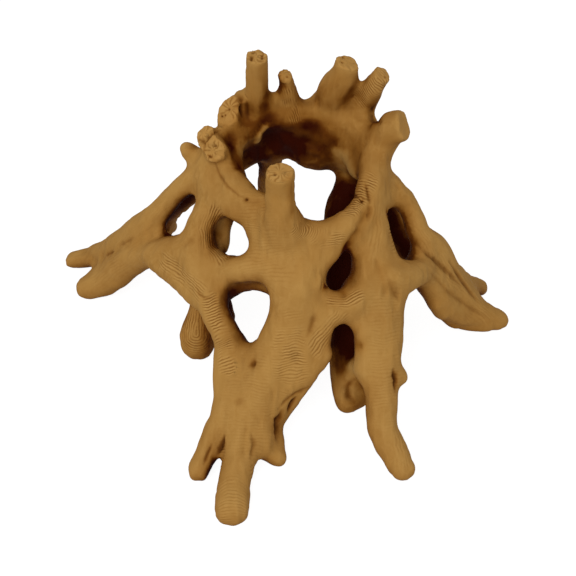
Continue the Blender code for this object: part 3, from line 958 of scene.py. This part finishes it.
class Carver:
    """Works grooves, dents, ripples and sawn ends into the fine surface."""

    STEP_PX = 2.0
    CUT_REACH = 3.0
    VALLEY_SHARE = 2.4
    DENT_REACH = 2.2
    RAGGED = 0.4
    RAGGED_SIZE = 2.4
    END_SHARE = 0.35
    CRACK_SHARE = 0.7
    # How much of a groove's painted shade lies in its narrow crack.
    CRACK_SHADE_SHARE = 0.85
    RING_SPACING = 1.4
    RING_SWAY = 0.5
    RING_SWAY_SIZE = 4.0
    LUMP_DEPTH = 0.55
    LUMP_SIZE = 3.6
    RING_DEPTH = 0.08
    HEART_SHARE = 0.3
    PIT_SHARE = 0.5
    PIT_RADIUS = 0.7
    PIT_DEPTH = 0.7
    # Painted shade in the pits of sawn ends and in hidden creases.
    HALF_SHADE = 0.5
    HIDDEN_GAP = 15.0
    HIDDEN_LOWEST = 4.0
    ACROSS_CHANCE = 0.65
    PATCH_LENGTHS = (6.0, 12.0)
    PATCH_SPACINGS = (1.5, 2.0)
    PATCH_DEPTHS = (0.12, 0.28)
    PATCH_WIDTH_SHARE = 0.6
    CREASE_LENGTHS = (3.0, 8.0)
    CREASE_WIDTHS = (0.7, 1.5)
    CREASE_DEPTHS = (0.6, 1.3)
    CREASE_SWAY = 0.8
    CREASE_SWAY_SIZE = 6.0
    TRIES = 40

    def __init__(self, surface: Surface, view: PhotoView, tree: BVHTree, flow: np.ndarray) -> None:
        """Keeps what every cut needs.

        Args:
            surface: The fine surface.
            view: The photograph's camera.
            tree: Search tree of the surface before it is carved.
            flow: Direction of growth at each vertex.
        """
        self.surface = surface
        self.view = view
        self.tree = tree
        self.flow = flow
        self.depth = np.zeros(len(surface.places))
        # Shade painted into grooves, pits and creases.
        self.recess_shade = np.zeros(len(surface.places))
        # Shade and light painted by the dents.
        self.painted_shade = np.zeros(len(surface.places))
        self.combs = Combs()
        self.sway = self.combs.sway
        self.patch = self.combs.patch

    def land(self, pixel: Pixel) -> tuple[np.ndarray, np.ndarray] | None:
        """Throws a point of the picture onto the wood.

        Args:
            pixel: Place in the picture.

        Returns:
            The place and the normal there, or None where the picture shows no wood.
        """
        start = Vector(self.view.position())
        place, normal, _, _ = self.tree.ray_cast(start, Vector(self.view.ray(pixel)))
        if place is None:
            return None
        return np.array(place), np.array(normal)

    def lay(self, path: tuple[Pixel, ...]) -> tuple[np.ndarray, np.ndarray]:
        """Lays a path of the picture on the wood, in short steps.

        Args:
            path: Corner points in the picture.

        Returns:
            The places along the path, and their mean normal.

        Raises:
            ValueError: The whole path misses the wood.
        """
        marks = [path[0]]
        for start, end in zip(path, path[1:]):
            steps = max(1, round(math.dist(start, end) / self.STEP_PX))
            for step in range(1, steps + 1):
                share = step / steps
                marks.append(tuple(a + (b - a) * share for a, b in zip(start, end)))
        landed = [hit for hit in map(self.land, marks) if hit is not None]
        if not landed:
            raise ValueError(f"the picture shows no wood along {path}")
        places = np.array([place for place, _ in landed])
        normals = np.array([normal for _, normal in landed])
        return places, unit(normals.mean(axis=0))

    def groove(self, cut: Groove) -> None:
        """Adds one groove or pit.

        Args:
            cut: The groove.
        """
        places, normal = self.lay(cut.path)
        rows = self.surface.near(places, normal, cut.width * self.CUT_REACH)
        points = self.surface.places[rows]
        away, along, _ = beside(points, places, normal)
        length = np.linalg.norm(np.diff(places, axis=0), axis=1).sum()
        taper = np.ones(len(rows))
        if length > 0:
            fade = max(0.3 * length, 1.0)
            inside = ease(np.minimum(along, length - along), -0.5, fade)
            taper = self.END_SHARE + (1 - self.END_SHARE) * inside
        uneven = 1 + self.RAGGED * self.patch.at(points, self.RAGGED_SIZE)
        ragged = uneven * (0.5 + 0.5 * taper)
        crack = np.exp(-((away / (cut.width * ragged)) ** 2)) * taper
        valley = np.exp(-((away / (cut.width * self.VALLEY_SHARE)) ** 2)) * taper
        shape = self.CRACK_SHARE * crack + (1 - self.CRACK_SHARE) * valley
        self.depth[rows] -= cut.depth * shape
        # Painted shade along the groove, darkest in its narrow crack.
        groove_shade = cut.recess_shade * (self.CRACK_SHADE_SHARE * crack + (1 - self.CRACK_SHADE_SHARE) * valley)
        self.recess_shade[rows] = np.maximum(self.recess_shade[rows], groove_shade)

    def dent(self, cut: Dent) -> None:
        """Adds one soft dip or swelling.

        Args:
            cut: The dent.
        """
        places, normal = self.lay(cut.path)
        rows = self.surface.near(places, normal, cut.radius * self.DENT_REACH)
        away, _, _ = beside(self.surface.places[rows], places, normal)
        shape = np.exp(-((away / cut.radius) ** 2))
        self.depth[rows] -= cut.depth * shape
        # Painted shade, which is painted light where the number is negative.
        self.painted_shade[rows] += cut.painted_shade * shape

    def sawn_face(self, end: SawnEnd, number: int) -> None:
        """Works one sawn end: lumps and saw rings, a pit, and lines out from the heart.

        Args:
            end: The sawn end.
            number: Its place in the list, which starts its random draw.
        """
        if end.worn:
            return
        draw = np.random.default_rng(FACE_SEED + number)
        heart = draw.uniform(-self.HEART_SHARE, self.HEART_SHARE, 2) * end.radius
        rows = end.on_face(self.surface, FACE_SLACK, FACE_TILT)
        points = self.surface.places[rows]
        across, up, _ = end.split(points)
        rings = np.hypot(across - heart[0], up - heart[1]) / self.RING_SPACING
        rings += self.RING_SWAY * self.sway.layered(points, self.RING_SWAY_SIZE, 2)
        lumps = self.LUMP_DEPTH * self.patch.layered(points, self.LUMP_SIZE, 2)
        depth = lumps + self.RING_DEPTH * np.cos(rings * 2 * math.pi)
        pit = draw.uniform(-self.PIT_SHARE, self.PIT_SHARE, 2) * end.radius
        shape = np.exp(-(((across - pit[0]) ** 2 + (up - pit[1]) ** 2) / self.PIT_RADIUS**2))
        self.depth[rows] += depth - self.PIT_DEPTH * shape
        # Painted shade in the pit.
        self.recess_shade[rows] = np.maximum(self.recess_shade[rows], self.HALF_SHADE * shape)
        self.combs.fans.append((end, heart))
        log.info("sawn end %s: %d vertices", end.name, len(rows))

    def hidden_work(self, patches: int, creases: int) -> None:
        """Works the sides that the picture doesn't show, with ripples and short creases.

        Args:
            patches: Number of rippled patches.
            creases: Number of short creases along the growth.
        """
        draw = np.random.default_rng(HIDDEN_SEED)
        to_view = unit(self.view.position() - self.surface.places)
        away = (self.surface.normals * to_view).sum(axis=1) < 0
        hidden = np.flatnonzero(away & (self.surface.places[:, 2] > self.HIDDEN_LOWEST))
        for number, spot in enumerate(self.scatter(draw, hidden, patches + creases)):
            if number < patches:
                self.hidden_patch(draw, spot)
            else:
                self.hidden_crease(draw, spot)

    def hidden_patch(self, draw: np.random.Generator, spot: int) -> None:
        """Lays a patch of ripples round one vertex.

        Args:
            draw: The random draw.
            spot: The vertex.
        """
        run = Run.ACROSS if draw.random() < self.ACROSS_CHANCE else Run.ALONG
        size = draw.uniform(*self.PATCH_LENGTHS)
        spacing = draw.uniform(*self.PATCH_SPACINGS)
        depth = draw.uniform(*self.PATCH_DEPTHS)
        shares = np.linspace(-0.5, 0.5, 3)[:, None]
        places = self.surface.places[spot] + self.flow[spot] * shares * size
        patch = Ripples((), size * self.PATCH_WIDTH_SHARE, run, spacing, depth)
        self.combs.laid.append((patch, places, self.surface.normals[spot]))

    def hidden_crease(self, draw: np.random.Generator, spot: int) -> None:
        """Cuts a short crease along the growth at one vertex.

        Args:
            draw: The random draw.
            spot: The vertex.
        """
        centre = self.surface.places[spot]
        grain = self.flow[spot]
        cross = unit(np.cross(self.surface.normals[spot], grain))
        rows = self.surface.near(centre[None], self.surface.normals[spot], self.HIDDEN_GAP)
        offset = self.surface.places[rows] - centre
        length = draw.uniform(*self.CREASE_LENGTHS)
        width = draw.uniform(*self.CREASE_WIDTHS)
        sway = self.sway.at(self.surface.places[rows], self.CREASE_SWAY_SIZE)
        bent = offset @ cross + self.CREASE_SWAY * sway
        shape = np.exp(-((bent / width) ** 2) - ((offset @ grain) / length) ** 2)
        self.depth[rows] -= draw.uniform(*self.CREASE_DEPTHS) * shape
        # Painted shade in the crease.
        self.recess_shade[rows] = np.maximum(self.recess_shade[rows], self.HALF_SHADE * shape)

    def scatter(self, draw: np.random.Generator, among: np.ndarray, count: int) -> list[int]:
        """Picks vertices that keep HIDDEN_GAP from each other.

        Args:
            draw: The random draw.
            among: Vertices to pick from.
            count: How many to pick.

        Returns:
            The picked vertices.
        """
        picked: list[int] = []
        places = self.surface.places
        for spot in draw.permutation(among)[: count * self.TRIES]:
            gaps = (np.linalg.norm(places[spot] - places[other]) for other in picked)
            if all(gap > self.HIDDEN_GAP for gap in gaps):
                picked.append(int(spot))
            if len(picked) == count:
                break
        return picked

    def ripples(self, patch: Ripples) -> None:
        """Lays one patch of ripples where a path of the picture places it."""
        self.combs.laid.append((patch, *self.lay(patch.path)))

    def finish(self) -> None:
        """Moves the surface by all the cuts and lines together."""
        self.surface.push(self.depth + self.combs.relief(self.surface))
        self.surface.update_normals()


def beside(
    points: np.ndarray, path: np.ndarray, normal: np.ndarray
) -> tuple[np.ndarray, np.ndarray, np.ndarray]:
    """Measures points against a path.

    Args:
        points: Places to measure.
        path: Places along the path.
        normal: The way the surface faces there.

    Returns:
        Distance from the path, distance along it, and signed distance beside it.
    """
    if len(path) == 1:
        offset = points - path[0]
        away = np.linalg.norm(offset, axis=1)
        return away, offset[:, 0], offset[:, 2]
    best = np.full(len(points), np.inf)
    along = np.zeros(len(points))
    lateral = np.zeros(len(points))
    travelled = 0.0
    last = len(path) - 2
    for number, (start, end) in enumerate(zip(path, path[1:])):
        step = end - start
        length = max(float(np.linalg.norm(step)), TINY)
        step = step / length
        offset = points - start
        raw = offset @ step
        held = np.clip(raw, 0, length)
        gap = np.linalg.norm(offset - held[:, None] * step, axis=1)
        closer = gap < best
        best = np.where(closer, gap, best)
        low = -np.inf if number == 0 else 0.0
        high = np.inf if number == last else length
        along = np.where(closer, travelled + np.clip(raw, low, high), along)
        lateral = np.where(closer, offset @ unit(np.cross(normal, step)), lateral)
        travelled += length
    return best, along, lateral


@dataclass
class StumpWood:
    """The whole stump as one wood mesh, with the fields that its material reads."""

    mesh_sizes: FineMesh = field(default_factory=FineMesh)
    soft_voxel: float = 1.1
    soft_steps: int = 64
    coarse_voxel: float = 1.6
    toe_height: float = 5.0
    cut_slack: float = 1.2
    grain_soften: int = 10
    flute_depth: float = 0.35
    flute_steps: int = 90
    flute_soften: int = 14
    flute_follow: int = 3
    flute_limit: float = 2.0
    streak_steps: int = 22
    streak_follow: int = 5
    streak_limit: float = 2.5
    edge_width: int = 8
    edge_soften: int = 3
    edge_gain: float = 2.0
    hollow_soften: int = 3
    hollow_choices: int = 5
    hidden_patches: int = 34
    hidden_creases: int = 26
    saw_setback: float = 0.5
    saw_height: float = 3.0
    saw_reach: float = 2.0
    sawn_slack: float = 1.0
    view: PhotoView = field(default_factory=PhotoView)

    def build(self) -> bpy.types.Object:
        """Builds, carves and dresses the piece.

        Returns:
            The finished object, riding on the frame.
        """
        sizes = self.mesh_sizes
        base = sizes.copy_of_node()
        solid = Surface(base)
        ends = self.on_sawn_end(solid, self.cut_slack) > 0
        flow = Flow(solid, ends, self.toe_height).directions()
        soft = Surface(FineMesh(voxel=self.soft_voxel).refined(base))
        soft.relax(self.soft_steps, sizes.relax_inward, sizes.relax_outward)
        middling = Surface(FineMesh(voxel=self.coarse_voxel).refined(soft.mesh))
        hollow = Hollows().measure(middling, middling.tree())
        log.info("hollows measured at %d places", len(hollow))
        fine = Surface(sizes.refined(soft.mesh))
        fine.relax(sizes.relax_steps, sizes.relax_inward, sizes.relax_outward)
        log.info("fine mesh of %d vertices", len(fine.places))
        grain = unit(fine.blur(nearest(solid, fine, flow), self.grain_soften))
        self.flute(fine, grain)
        self.saw(fine)
        carver = self.carve(fine, grain)
        shade = nearest(middling, fine, hollow, self.hollow_choices)
        fields = {
            # Painted shade where the wood is closed in, with the dents' painted shade and light
            # added.
            "hollow": fine.blur(shade, self.hollow_soften) + carver.painted_shade,
            # Painted shade in grooves, pits and creases.
            "crack": carver.recess_shade,
            "sawn": self.on_sawn_end(fine, self.sawn_slack),
            "streak": self.streaks(fine, grain),
            # Ridges and creases, which the material paints lighter as highlight and wear and darker
            # as shade.
            "edge": self.edges(fine),
        }
        fine.places[:, 2] = np.maximum(fine.places[:, 2], 0.0)
        fine.write()
        mesh = sizes.thinned(fine.mesh)
        self.store(mesh, fine, fields, carver.combs)
        return self.place(mesh)

    def carve(self, fine: Surface, grain: np.ndarray) -> Carver:
        """Works every cut of the tables, and the hidden sides, into the fine surface.

        Args:
            fine: The fine surface.
            grain: Direction of growth at each vertex.

        Returns:
            The carver, which keeps the painted shade and light and the lines.
        """
        carver = Carver(fine, self.view, fine.tree(), grain)
        for cut in GROOVES:
            carver.groove(cut)
        for dent in DENTS:
            carver.dent(dent)
        for patch in RIPPLES:
            carver.ripples(patch)
        for number, end in enumerate(SAWN_ENDS):
            carver.sawn_face(end, number)
        carver.hidden_work(self.hidden_patches, self.hidden_creases)
        carver.finish()
        return carver

    def on_sawn_end(self, surface: Surface, slack: float) -> np.ndarray:
        """Marks the faces of the sawn ends.

        Args:
            surface: The surface to mark.
            slack: How far from the cut's plane a vertex may lie.

        Returns:
            1 on a sawn face and 0 elsewhere.
        """
        marked = np.zeros(len(surface.places))
        for end in SAWN_ENDS:
            marked[end.on_face(surface, slack, FLAT_TILT)] = 1
        return marked

    def flute(self, fine: Surface, grain: np.ndarray) -> None:
        """Gives the limbs shallow hollows and ridges that run with the growth.

        Args:
            fine: The fine surface.
            grain: Direction of growth at each vertex.
        """
        raw = np.random.default_rng(FLUTE_SEED).normal(size=len(fine.places))
        wide = fine.blur(raw, self.flute_steps, grain_weights(fine, grain, self.flute_follow))
        wide = fine.blur(wide, self.flute_soften)
        wide /= wide.std() + TINY
        limit = self.flute_limit
        fine.push(self.flute_depth * np.clip(wide, -limit, limit) / limit)
        fine.update_normals()

    def saw(self, fine: Surface) -> None:
        """Cuts the stubs off flat, just inside the solid's own cuts.

        Args:
            fine: The fine surface.
        """
        for end in SAWN_ENDS:
            if end.worn:
                continue
            across, up, height = end.split(fine.places)
            near = np.hypot(across, up) < end.radius * self.saw_reach
            over = (height > -self.saw_setback) & (height < self.saw_height) & near
            excess = height[over] + self.saw_setback
            fine.places[over] -= excess[:, None] * unit(np.array(end.facing))
        fine.update_normals()

    def streaks(self, fine: Surface, grain: np.ndarray) -> np.ndarray:
        """Draws the grain: random values pulled out along the growth.

        Args:
            fine: The fine surface.
            grain: Direction of growth at each vertex.

        Returns:
            One value for each vertex, from -1 to 1.
        """
        raw = np.random.default_rng(STREAK_SEED).normal(size=len(fine.places))
        values = fine.blur(raw, self.streak_steps, grain_weights(fine, grain, self.streak_follow))
        return np.clip(values / (values.std() * self.streak_limit + TINY), -1, 1)

    def edges(self, fine: Surface) -> np.ndarray:
        """Finds ridges and creases, which the material paints paler, as painted highlight and wear,
        and darker, as painted shade.

        Args:
            fine: The fine surface.

        Returns:
            Above 0 on ridges and below 0 in creases, from -1 to 1.
        """
        smooth = fine.blur(fine.places, self.edge_width)
        lift = ((fine.places - smooth) * fine.normals).sum(axis=1)
        return np.clip(fine.blur(lift, self.edge_soften) * self.edge_gain, -1, 1)

    def store(
        self, mesh: bpy.types.Mesh, fine: Surface, fields: dict[str, np.ndarray], combs: Combs
    ) -> None:
        """Writes the fields and the lines into the thinned mesh as attributes.

        Args:
            mesh: The thinned mesh.
            fine: The surface that the fields were made on.
            fields: One number for each fine vertex, by name.
            combs: The lines, which are measured again on the thinned mesh.
        """
        thin = Surface(mesh)
        names = list(fields)
        table = np.stack([fields[name] for name in names], axis=1)
        moved = dict(zip(names, nearest(fine, thin, table).T))
        moved["turns"], moved["comb"] = combs.measure(thin)
        for name, values in moved.items():
            layer = mesh.attributes.new(name, "FLOAT", "POINT")
            layer.data.foreach_set("value", values.astype(np.float32))

    def place(self, mesh: bpy.types.Mesh) -> bpy.types.Object:
        """Makes the object and ties it to the frame.

        Args:
            mesh: The finished mesh.

        Returns:
            The object.
        """
        mesh.name = PIECE
        mesh.materials.clear()
        mesh.materials.append(DriftwoodFinish().make())
        mesh.polygons.foreach_set("use_smooth", np.ones(len(mesh.polygons), bool))
        piece = bpy.data.objects.new(PIECE, mesh)
        bpy.context.scene.collection.objects.link(piece)
        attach(piece, "root")
        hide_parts(NODE)
        log.info("%s: %d faces", PIECE, len(mesh.polygons))
        return piece


def grain_weights(surface: Surface, grain: np.ndarray, power: int) -> np.ndarray:
    """Weights each edge by how well it follows the growth.

    Args:
        surface: The surface.
        grain: Direction of growth at each vertex.
        power: How strongly edges across the growth are held back.

    Returns:
        One weight for each directed edge.
    """
    way = unit(surface.places[surface.second] - surface.places[surface.first])
    follow = np.abs((way * grain[surface.first]).sum(axis=1))
    return follow ** (2 * power) + ACROSS_SHARE


def nearest(known: Surface, asked: Surface, values: np.ndarray, choices: int = 1) -> np.ndarray:
    """Carries values from one surface to another that lies on it.

    With several choices, the nearest one that faces most nearly the same way is
    taken, so that nothing leaks round a thin edge.

    Args:
        known: Surface with values.
        asked: Surface that needs them.
        values: One number or row for each vertex of the known surface.
        choices: How many of the nearest vertices are weighed against each other.

    Returns:
        One number or row for each vertex of the asked surface.
    """
    tree = KDTree(len(known.places))
    for number, place in enumerate(known.places.tolist()):
        tree.insert(place, number)
    tree.balance()
    places = asked.places.tolist()
    if choices == 1:
        return values[[tree.find(place)[1] for place in places]]
    near = np.array([[hit[1] for hit in tree.find_n(place, choices)] for place in places])
    away = np.linalg.norm(known.places[near] - asked.places[:, None], axis=2)
    facing = (known.normals[near] * asked.normals[:, None]).sum(axis=2)
    best = np.argmax(facing - AWAY_COST * away, axis=1)
    return values[near[np.arange(len(near)), best]]


class Nodes:
    """Short ways to add and join shader nodes."""

    def __init__(self, name: str) -> None:
        """Starts an empty material.

        Args:
            name: The material's name.
        """
        self.material = bpy.data.materials.new(name)
        self.material.use_nodes = True
        self.tree = self.material.node_tree
        self.tree.nodes.clear()

    def add(self, kind: str, **settings: object) -> bpy.types.Node:
        """Adds a node.

        Args:
            kind: The node's type name.
            settings: Its properties.

        Returns:
            The node.
        """
        node = self.tree.nodes.new(kind)
        for key, value in settings.items():
            setattr(node, key, value)
        return node

    def join(self, source: bpy.types.NodeSocket, target: bpy.types.NodeSocket) -> None:
        """Joins two sockets."""
        self.tree.links.new(source, target)

    def attribute(self, name: str) -> bpy.types.NodeSocket:
        """Reads one of the mesh's own fields."""
        return self.add("ShaderNodeAttribute", attribute_name=name).outputs["Fac"]

    def noise(self, scale: float, detail: float, rough: float = 0.5) -> bpy.types.NodeSocket:
        """Adds noise that is fixed to the object.

        Args:
            scale: Blotches in a metre.
            detail: Number of finer layers.
            rough: Strength of the finer layers.

        Returns:
            The noise, from 0 to 1.
        """
        place = self.add("ShaderNodeTexCoord").outputs["Object"]
        node = self.add("ShaderNodeTexNoise")
        node.inputs["Scale"].default_value = scale
        node.inputs["Detail"].default_value = detail
        node.inputs["Roughness"].default_value = rough
        self.join(place, node.inputs["Vector"])
        return node.outputs["Fac"]

    def remap(self, source: bpy.types.NodeSocket, span: Span) -> bpy.types.NodeSocket:
        """Maps one span of numbers to another and holds it there.

        Args:
            source: The socket to read.
            span: From low, from high, to low, to high.

        Returns:
            The mapped socket.
        """
        node = self.add("ShaderNodeMapRange")
        self.join(source, node.inputs["Value"])
        for name, value in zip(("From Min", "From Max", "To Min", "To Max"), span):
            node.inputs[name].default_value = value
        return node.outputs["Result"]

    def math(self, operation: str, *values: bpy.types.NodeSocket | float) -> bpy.types.NodeSocket:
        """Does arithmetic on sockets and fixed numbers.

        Args:
            operation: Blender's name of the operation.
            values: Its sockets and numbers, in order.

        Returns:
            The result.
        """
        node = self.add("ShaderNodeMath", operation=operation)
        for socket, value in zip(node.inputs, values):
            if isinstance(value, float):
                socket.default_value = value
            else:
                self.join(value, socket)
        return node.outputs[0]

    def ramp(
        self, source: bpy.types.NodeSocket, tones: tuple[tuple[float, Colour], ...]
    ) -> bpy.types.NodeSocket:
        """Turns a number into a colour.

        Args:
            source: The socket to read.
            tones: Numbers in rising order, each with its colour.

        Returns:
            The colour.
        """
        node = self.add("ShaderNodeValToRGB")
        marks = node.color_ramp.elements
        while len(marks) < len(tones):
            marks.new(1.0)
        for mark, (place, colour) in zip(marks, tones):
            mark.position = place
            mark.color = (*colour, 1.0)
        self.join(source, node.inputs["Fac"])
        return node.outputs["Color"]

    def blend(
        self,
        share: bpy.types.NodeSocket | None,
        start: bpy.types.NodeSocket | Colour,
        end: bpy.types.NodeSocket | Colour,
        kind: str = "MIX",
    ) -> bpy.types.NodeSocket:
        """Mixes two colours.

        Args:
            share: How much of the second, or None for all of it.
            start: First colour, a socket or a fixed one.
            end: Second colour, a socket or a fixed one.
            kind: How they are mixed.

        Returns:
            The mixed colour.
        """
        node = self.add("ShaderNodeMix", data_type="RGBA", blend_type=kind)
        node.inputs[0].default_value = 1.0
        if share is not None:
            self.join(share, node.inputs[0])
        for socket, colour in ((node.inputs[6], start), (node.inputs[7], end)):
            if isinstance(colour, tuple):
                socket.default_value = (*colour, 1.0)
            else:
                self.join(colour, socket)
        return node.outputs[2]


@dataclass(frozen=True)
class DriftwoodFinish:
    """Matt, bare driftwood: warm ochre in the light, with shade painted into its colour, red-brown
    and nearly black in the hollows.
    """

    # Pale grain, also the colour of painted highlight on ridges and painted light on line crests.
    pale: Colour = srgb(188, 146, 84)
    body: Colour = srgb(168, 126, 65)
    brown: Colour = srgb(155, 112, 54)
    shade: Colour = srgb(104, 66, 22)
    # Painted shade in the valleys of the fine lines.
    valley: Colour = (0.55, 0.43, 0.27)
    # Painted shade of grooves, pits and cracks, from none to nearly black.
    crack_shade_tones: tuple[tuple[float, Colour], ...] = (
        (0.0, (1.0, 1.0, 1.0)),
        (0.45, (0.58, 0.44, 0.26)),
        (1.0, (0.14, 0.05, 0.015)),
    )
    sawn: Colour = srgb(176, 130, 68)
    # Painted shade of the hollows, from the open to the most closed in.
    hollow_shade_tones: tuple[tuple[float, Colour], ...] = (
        (0.0, (1.0, 1.0, 1.0)),
        (0.24, (0.90, 0.82, 0.70)),
        (0.40, (0.64, 0.50, 0.30)),
        (0.50, (0.34, 0.19, 0.06)),
        (0.64, (0.10, 0.019, 0.003)),
    )
    roughness: float = 0.72
    specular: float = 0.04
    mottle_span: Span = (0.32, 0.68, 0.0, 1.0)
    streak_span: Span = (-0.5, 0.9, 0.0, 0.22)
    ridge_span: Span = (0.05, 0.6, 0.0, 0.35)
    face_span: Span = (0.2, 0.8, 0.0, 0.55)
    crest_span: Span = (0.0, 1.0, 0.0, 0.7)
    crease_span: Span = (-0.05, -0.6, 0.0, 0.6)
    line_span: Span = (0.1, 0.9, 0.0, 0.9)
    mottle_scale: float = 38.0
    gloss_scale: float = 240.0
    jitter_scale: float = 420.0
    pore_scale: float = 900.0
    fibre_bump: float = 0.00005
    pore_bump: float = 0.00010
    line_bump: float = 0.00022

    def make(self) -> bpy.types.Material:
        """Makes the material.

        Returns:
            The material.
        """
        nodes = Nodes("bare_driftwood")
        shader = nodes.add("ShaderNodeBsdfPrincipled")
        shader.inputs["Specular IOR Level"].default_value = self.specular
        nodes.join(self.colour(nodes), shader.inputs["Base Color"])
        span = (0.3, 0.7, self.roughness - 0.06, self.roughness + 0.1)
        rough = nodes.remap(nodes.noise(self.gloss_scale, 4.0), span)
        nodes.join(rough, shader.inputs["Roughness"])
        nodes.join(self.relief(nodes), shader.inputs["Normal"])
        output = nodes.add("ShaderNodeOutputMaterial")
        nodes.join(shader.outputs[0], output.inputs["Surface"])
        return nodes.material

    def colour(self, nodes: Nodes) -> bpy.types.NodeSocket:
        """Builds the colour: mottled and streaked, with painted highlight and wear on ridges,
        painted light on line crests, and painted shade in creases, line valleys, cracks and
        hollows.

        Args:
            nodes: The material under way.

        Returns:
            The colour.
        """
        mottle = nodes.remap(nodes.noise(self.mottle_scale, 5.0, 0.6), self.mottle_span)
        wood = nodes.blend(mottle, self.brown, self.body)
        streak = nodes.remap(nodes.attribute("streak"), self.streak_span)
        wood = nodes.blend(streak, wood, self.pale)
        # Ridges paler: painted highlight, and wear.
        ridge = nodes.remap(nodes.attribute("edge"), self.ridge_span)
        wood = nodes.blend(ridge, wood, self.pale)
        face = nodes.remap(nodes.attribute("sawn"), self.face_span)
        wood = nodes.blend(face, wood, self.sawn)
        # Crests of the fine lines paler: painted light.
        crest = nodes.math("SUBTRACT", nodes.attribute("comb"), self.valleys(nodes))
        wood = nodes.blend(nodes.remap(crest, self.crest_span), wood, self.pale)
        # Creases in the shade colour: painted shade.
        crease = nodes.remap(nodes.attribute("edge"), self.crease_span)
        wood = nodes.blend(crease, wood, self.shade)
        # Valleys of the fine lines darker: painted shade.
        line = nodes.remap(self.valleys(nodes), self.line_span)
        wood = nodes.blend(line, wood, self.valley, "MULTIPLY")
        # Painted shade in grooves, pits and cracks.
        crack = nodes.ramp(nodes.attribute("crack"), self.crack_shade_tones)
        wood = nodes.blend(None, wood, crack, "MULTIPLY")
        # Painted shade in the hollows, with the dents' painted shade and light.
        painted_shade = nodes.ramp(nodes.attribute("hollow"), self.hollow_shade_tones)
        return nodes.blend(None, wood, painted_shade, "MULTIPLY")

    def valleys(self, nodes: Nodes) -> bpy.types.NodeSocket:
        """Draws the fine lines from the count of lines that the mesh keeps.

        Args:
            nodes: The material under way.

        Returns:
            1 at the bottom of a strong line, and 0 on the ridges beside it.
        """
        jitter = nodes.math("MULTIPLY_ADD", nodes.noise(self.jitter_scale, 2.0), 0.5, -0.25)
        turns = nodes.math("ADD", nodes.attribute("turns"), jitter)
        wave = nodes.math("COSINE", nodes.math("MULTIPLY", turns, 2 * math.pi))
        half_wave = nodes.math("MULTIPLY_ADD", wave, 0.5, 0.5)
        line = nodes.math("POWER", half_wave, Combs.SHARPNESS)
        return nodes.math("MULTIPLY", line, nodes.attribute("comb"))

    def relief(self, nodes: Nodes) -> bpy.types.NodeSocket:
        """Builds the fine relief: fibres, then pores, then the lines pressed in.

        Args:
            nodes: The material under way.

        Returns:
            The bumped normal.
        """
        layers = (
            (nodes.attribute("streak"), 0.7, self.fibre_bump, False),
            (nodes.noise(self.pore_scale, 5.0, 0.6), 0.6, self.pore_bump, False),
            (self.valleys(nodes), 1.0, self.line_bump, True),
        )
        normal = None
        for height, strength, depth, pressed in layers:
            bump = nodes.add("ShaderNodeBump", invert=pressed)
            bump.inputs["Strength"].default_value = strength
            bump.inputs["Distance"].default_value = depth
            nodes.join(height, bump.inputs["Height"])
            if normal is not None:
                nodes.join(normal, bump.inputs["Normal"])
            normal = bump.outputs["Normal"]
        return normal


@dataclass(frozen=True)
class Studio:
    """Pale floor and plain soft light. Places are in metres and powers in watts."""

    floor_half: float = 6.0
    floor_tone: float = 0.2
    floor_roughness: float = 0.9
    floor_glow: float = 0.92
    sky: float = 0.575
    aim: Point = (0.0, 0.0, 0.07)
    key_place: Point = (-0.42, -0.95, 1.0)
    key_power: float = 10.0
    key_size: float = 0.8
    fill_place: Point = (0.9, -0.5, 0.75)
    fill_power: float = 1.0
    fill_size: float = 1.2

    def make(self) -> None:
        """Adds the floor, the sky and the lamps."""
        self.make_floor()
        self.make_sky()
        self.lamp("key", self.key_place, self.key_power, self.key_size)
        self.lamp("fill", self.fill_place, self.fill_power, self.fill_size)
        bpy.context.scene.view_settings.view_transform = "Standard"
        bpy.context.scene.view_settings.look = "None"

    def make_floor(self) -> None:
        """Adds the floor, which glows a little so that it stays white under the stump."""
        work = bmesh.new()
        bmesh.ops.create_grid(work, x_segments=1, y_segments=1, size=self.floor_half)
        mesh = bpy.data.meshes.new("floor")
        work.to_mesh(mesh)
        work.free()
        nodes = Nodes("pale_floor")
        shader = nodes.add("ShaderNodeBsdfPrincipled")
        tone = self.floor_tone
        shader.inputs["Base Color"].default_value = (tone, tone, tone, 1.0)
        shader.inputs["Roughness"].default_value = self.floor_roughness
        shader.inputs["Specular IOR Level"].default_value = 0.0
        shader.inputs["Emission Color"].default_value = WHITE
        shader.inputs["Emission Strength"].default_value = self.floor_glow
        output = nodes.add("ShaderNodeOutputMaterial")
        nodes.join(shader.outputs[0], output.inputs["Surface"])
        mesh.materials.append(nodes.material)
        floor = bpy.data.objects.new("floor", mesh)
        floor.visible_diffuse = False
        floor.visible_glossy = False
        bpy.context.scene.collection.objects.link(floor)

    def make_sky(self) -> None:
        """Adds an even white sky."""
        world = bpy.data.worlds.new("studio")
        world.use_nodes = True
        ground = world.node_tree.nodes["Background"]
        ground.inputs["Color"].default_value = WHITE
        ground.inputs["Strength"].default_value = self.sky
        bpy.context.scene.world = world

    def lamp(self, name: str, place: Point, power: float, size: float) -> None:
        """Adds one soft square lamp that faces the stump.

        Args:
            name: The lamp's name.
            place: Where it stands.
            power: Its power.
            size: Its side.
        """
        data = bpy.data.lights.new(name, "AREA")
        data.energy = power
        data.size = size
        lamp = bpy.data.objects.new(name, data)
        lamp.location = place
        way = Vector(self.aim) - Vector(place)
        lamp.rotation_euler = way.to_track_quat("-Z", "Y").to_euler()
        bpy.context.scene.collection.objects.link(lamp)


def main() -> None:
    """Builds the wood, the studio and the camera."""
    logging.basicConfig(level=logging.INFO, format="%(message)s")
    PhotoView().make()
    StumpWood().build()
    Studio().make()


if __name__ == "__main__":
    main()
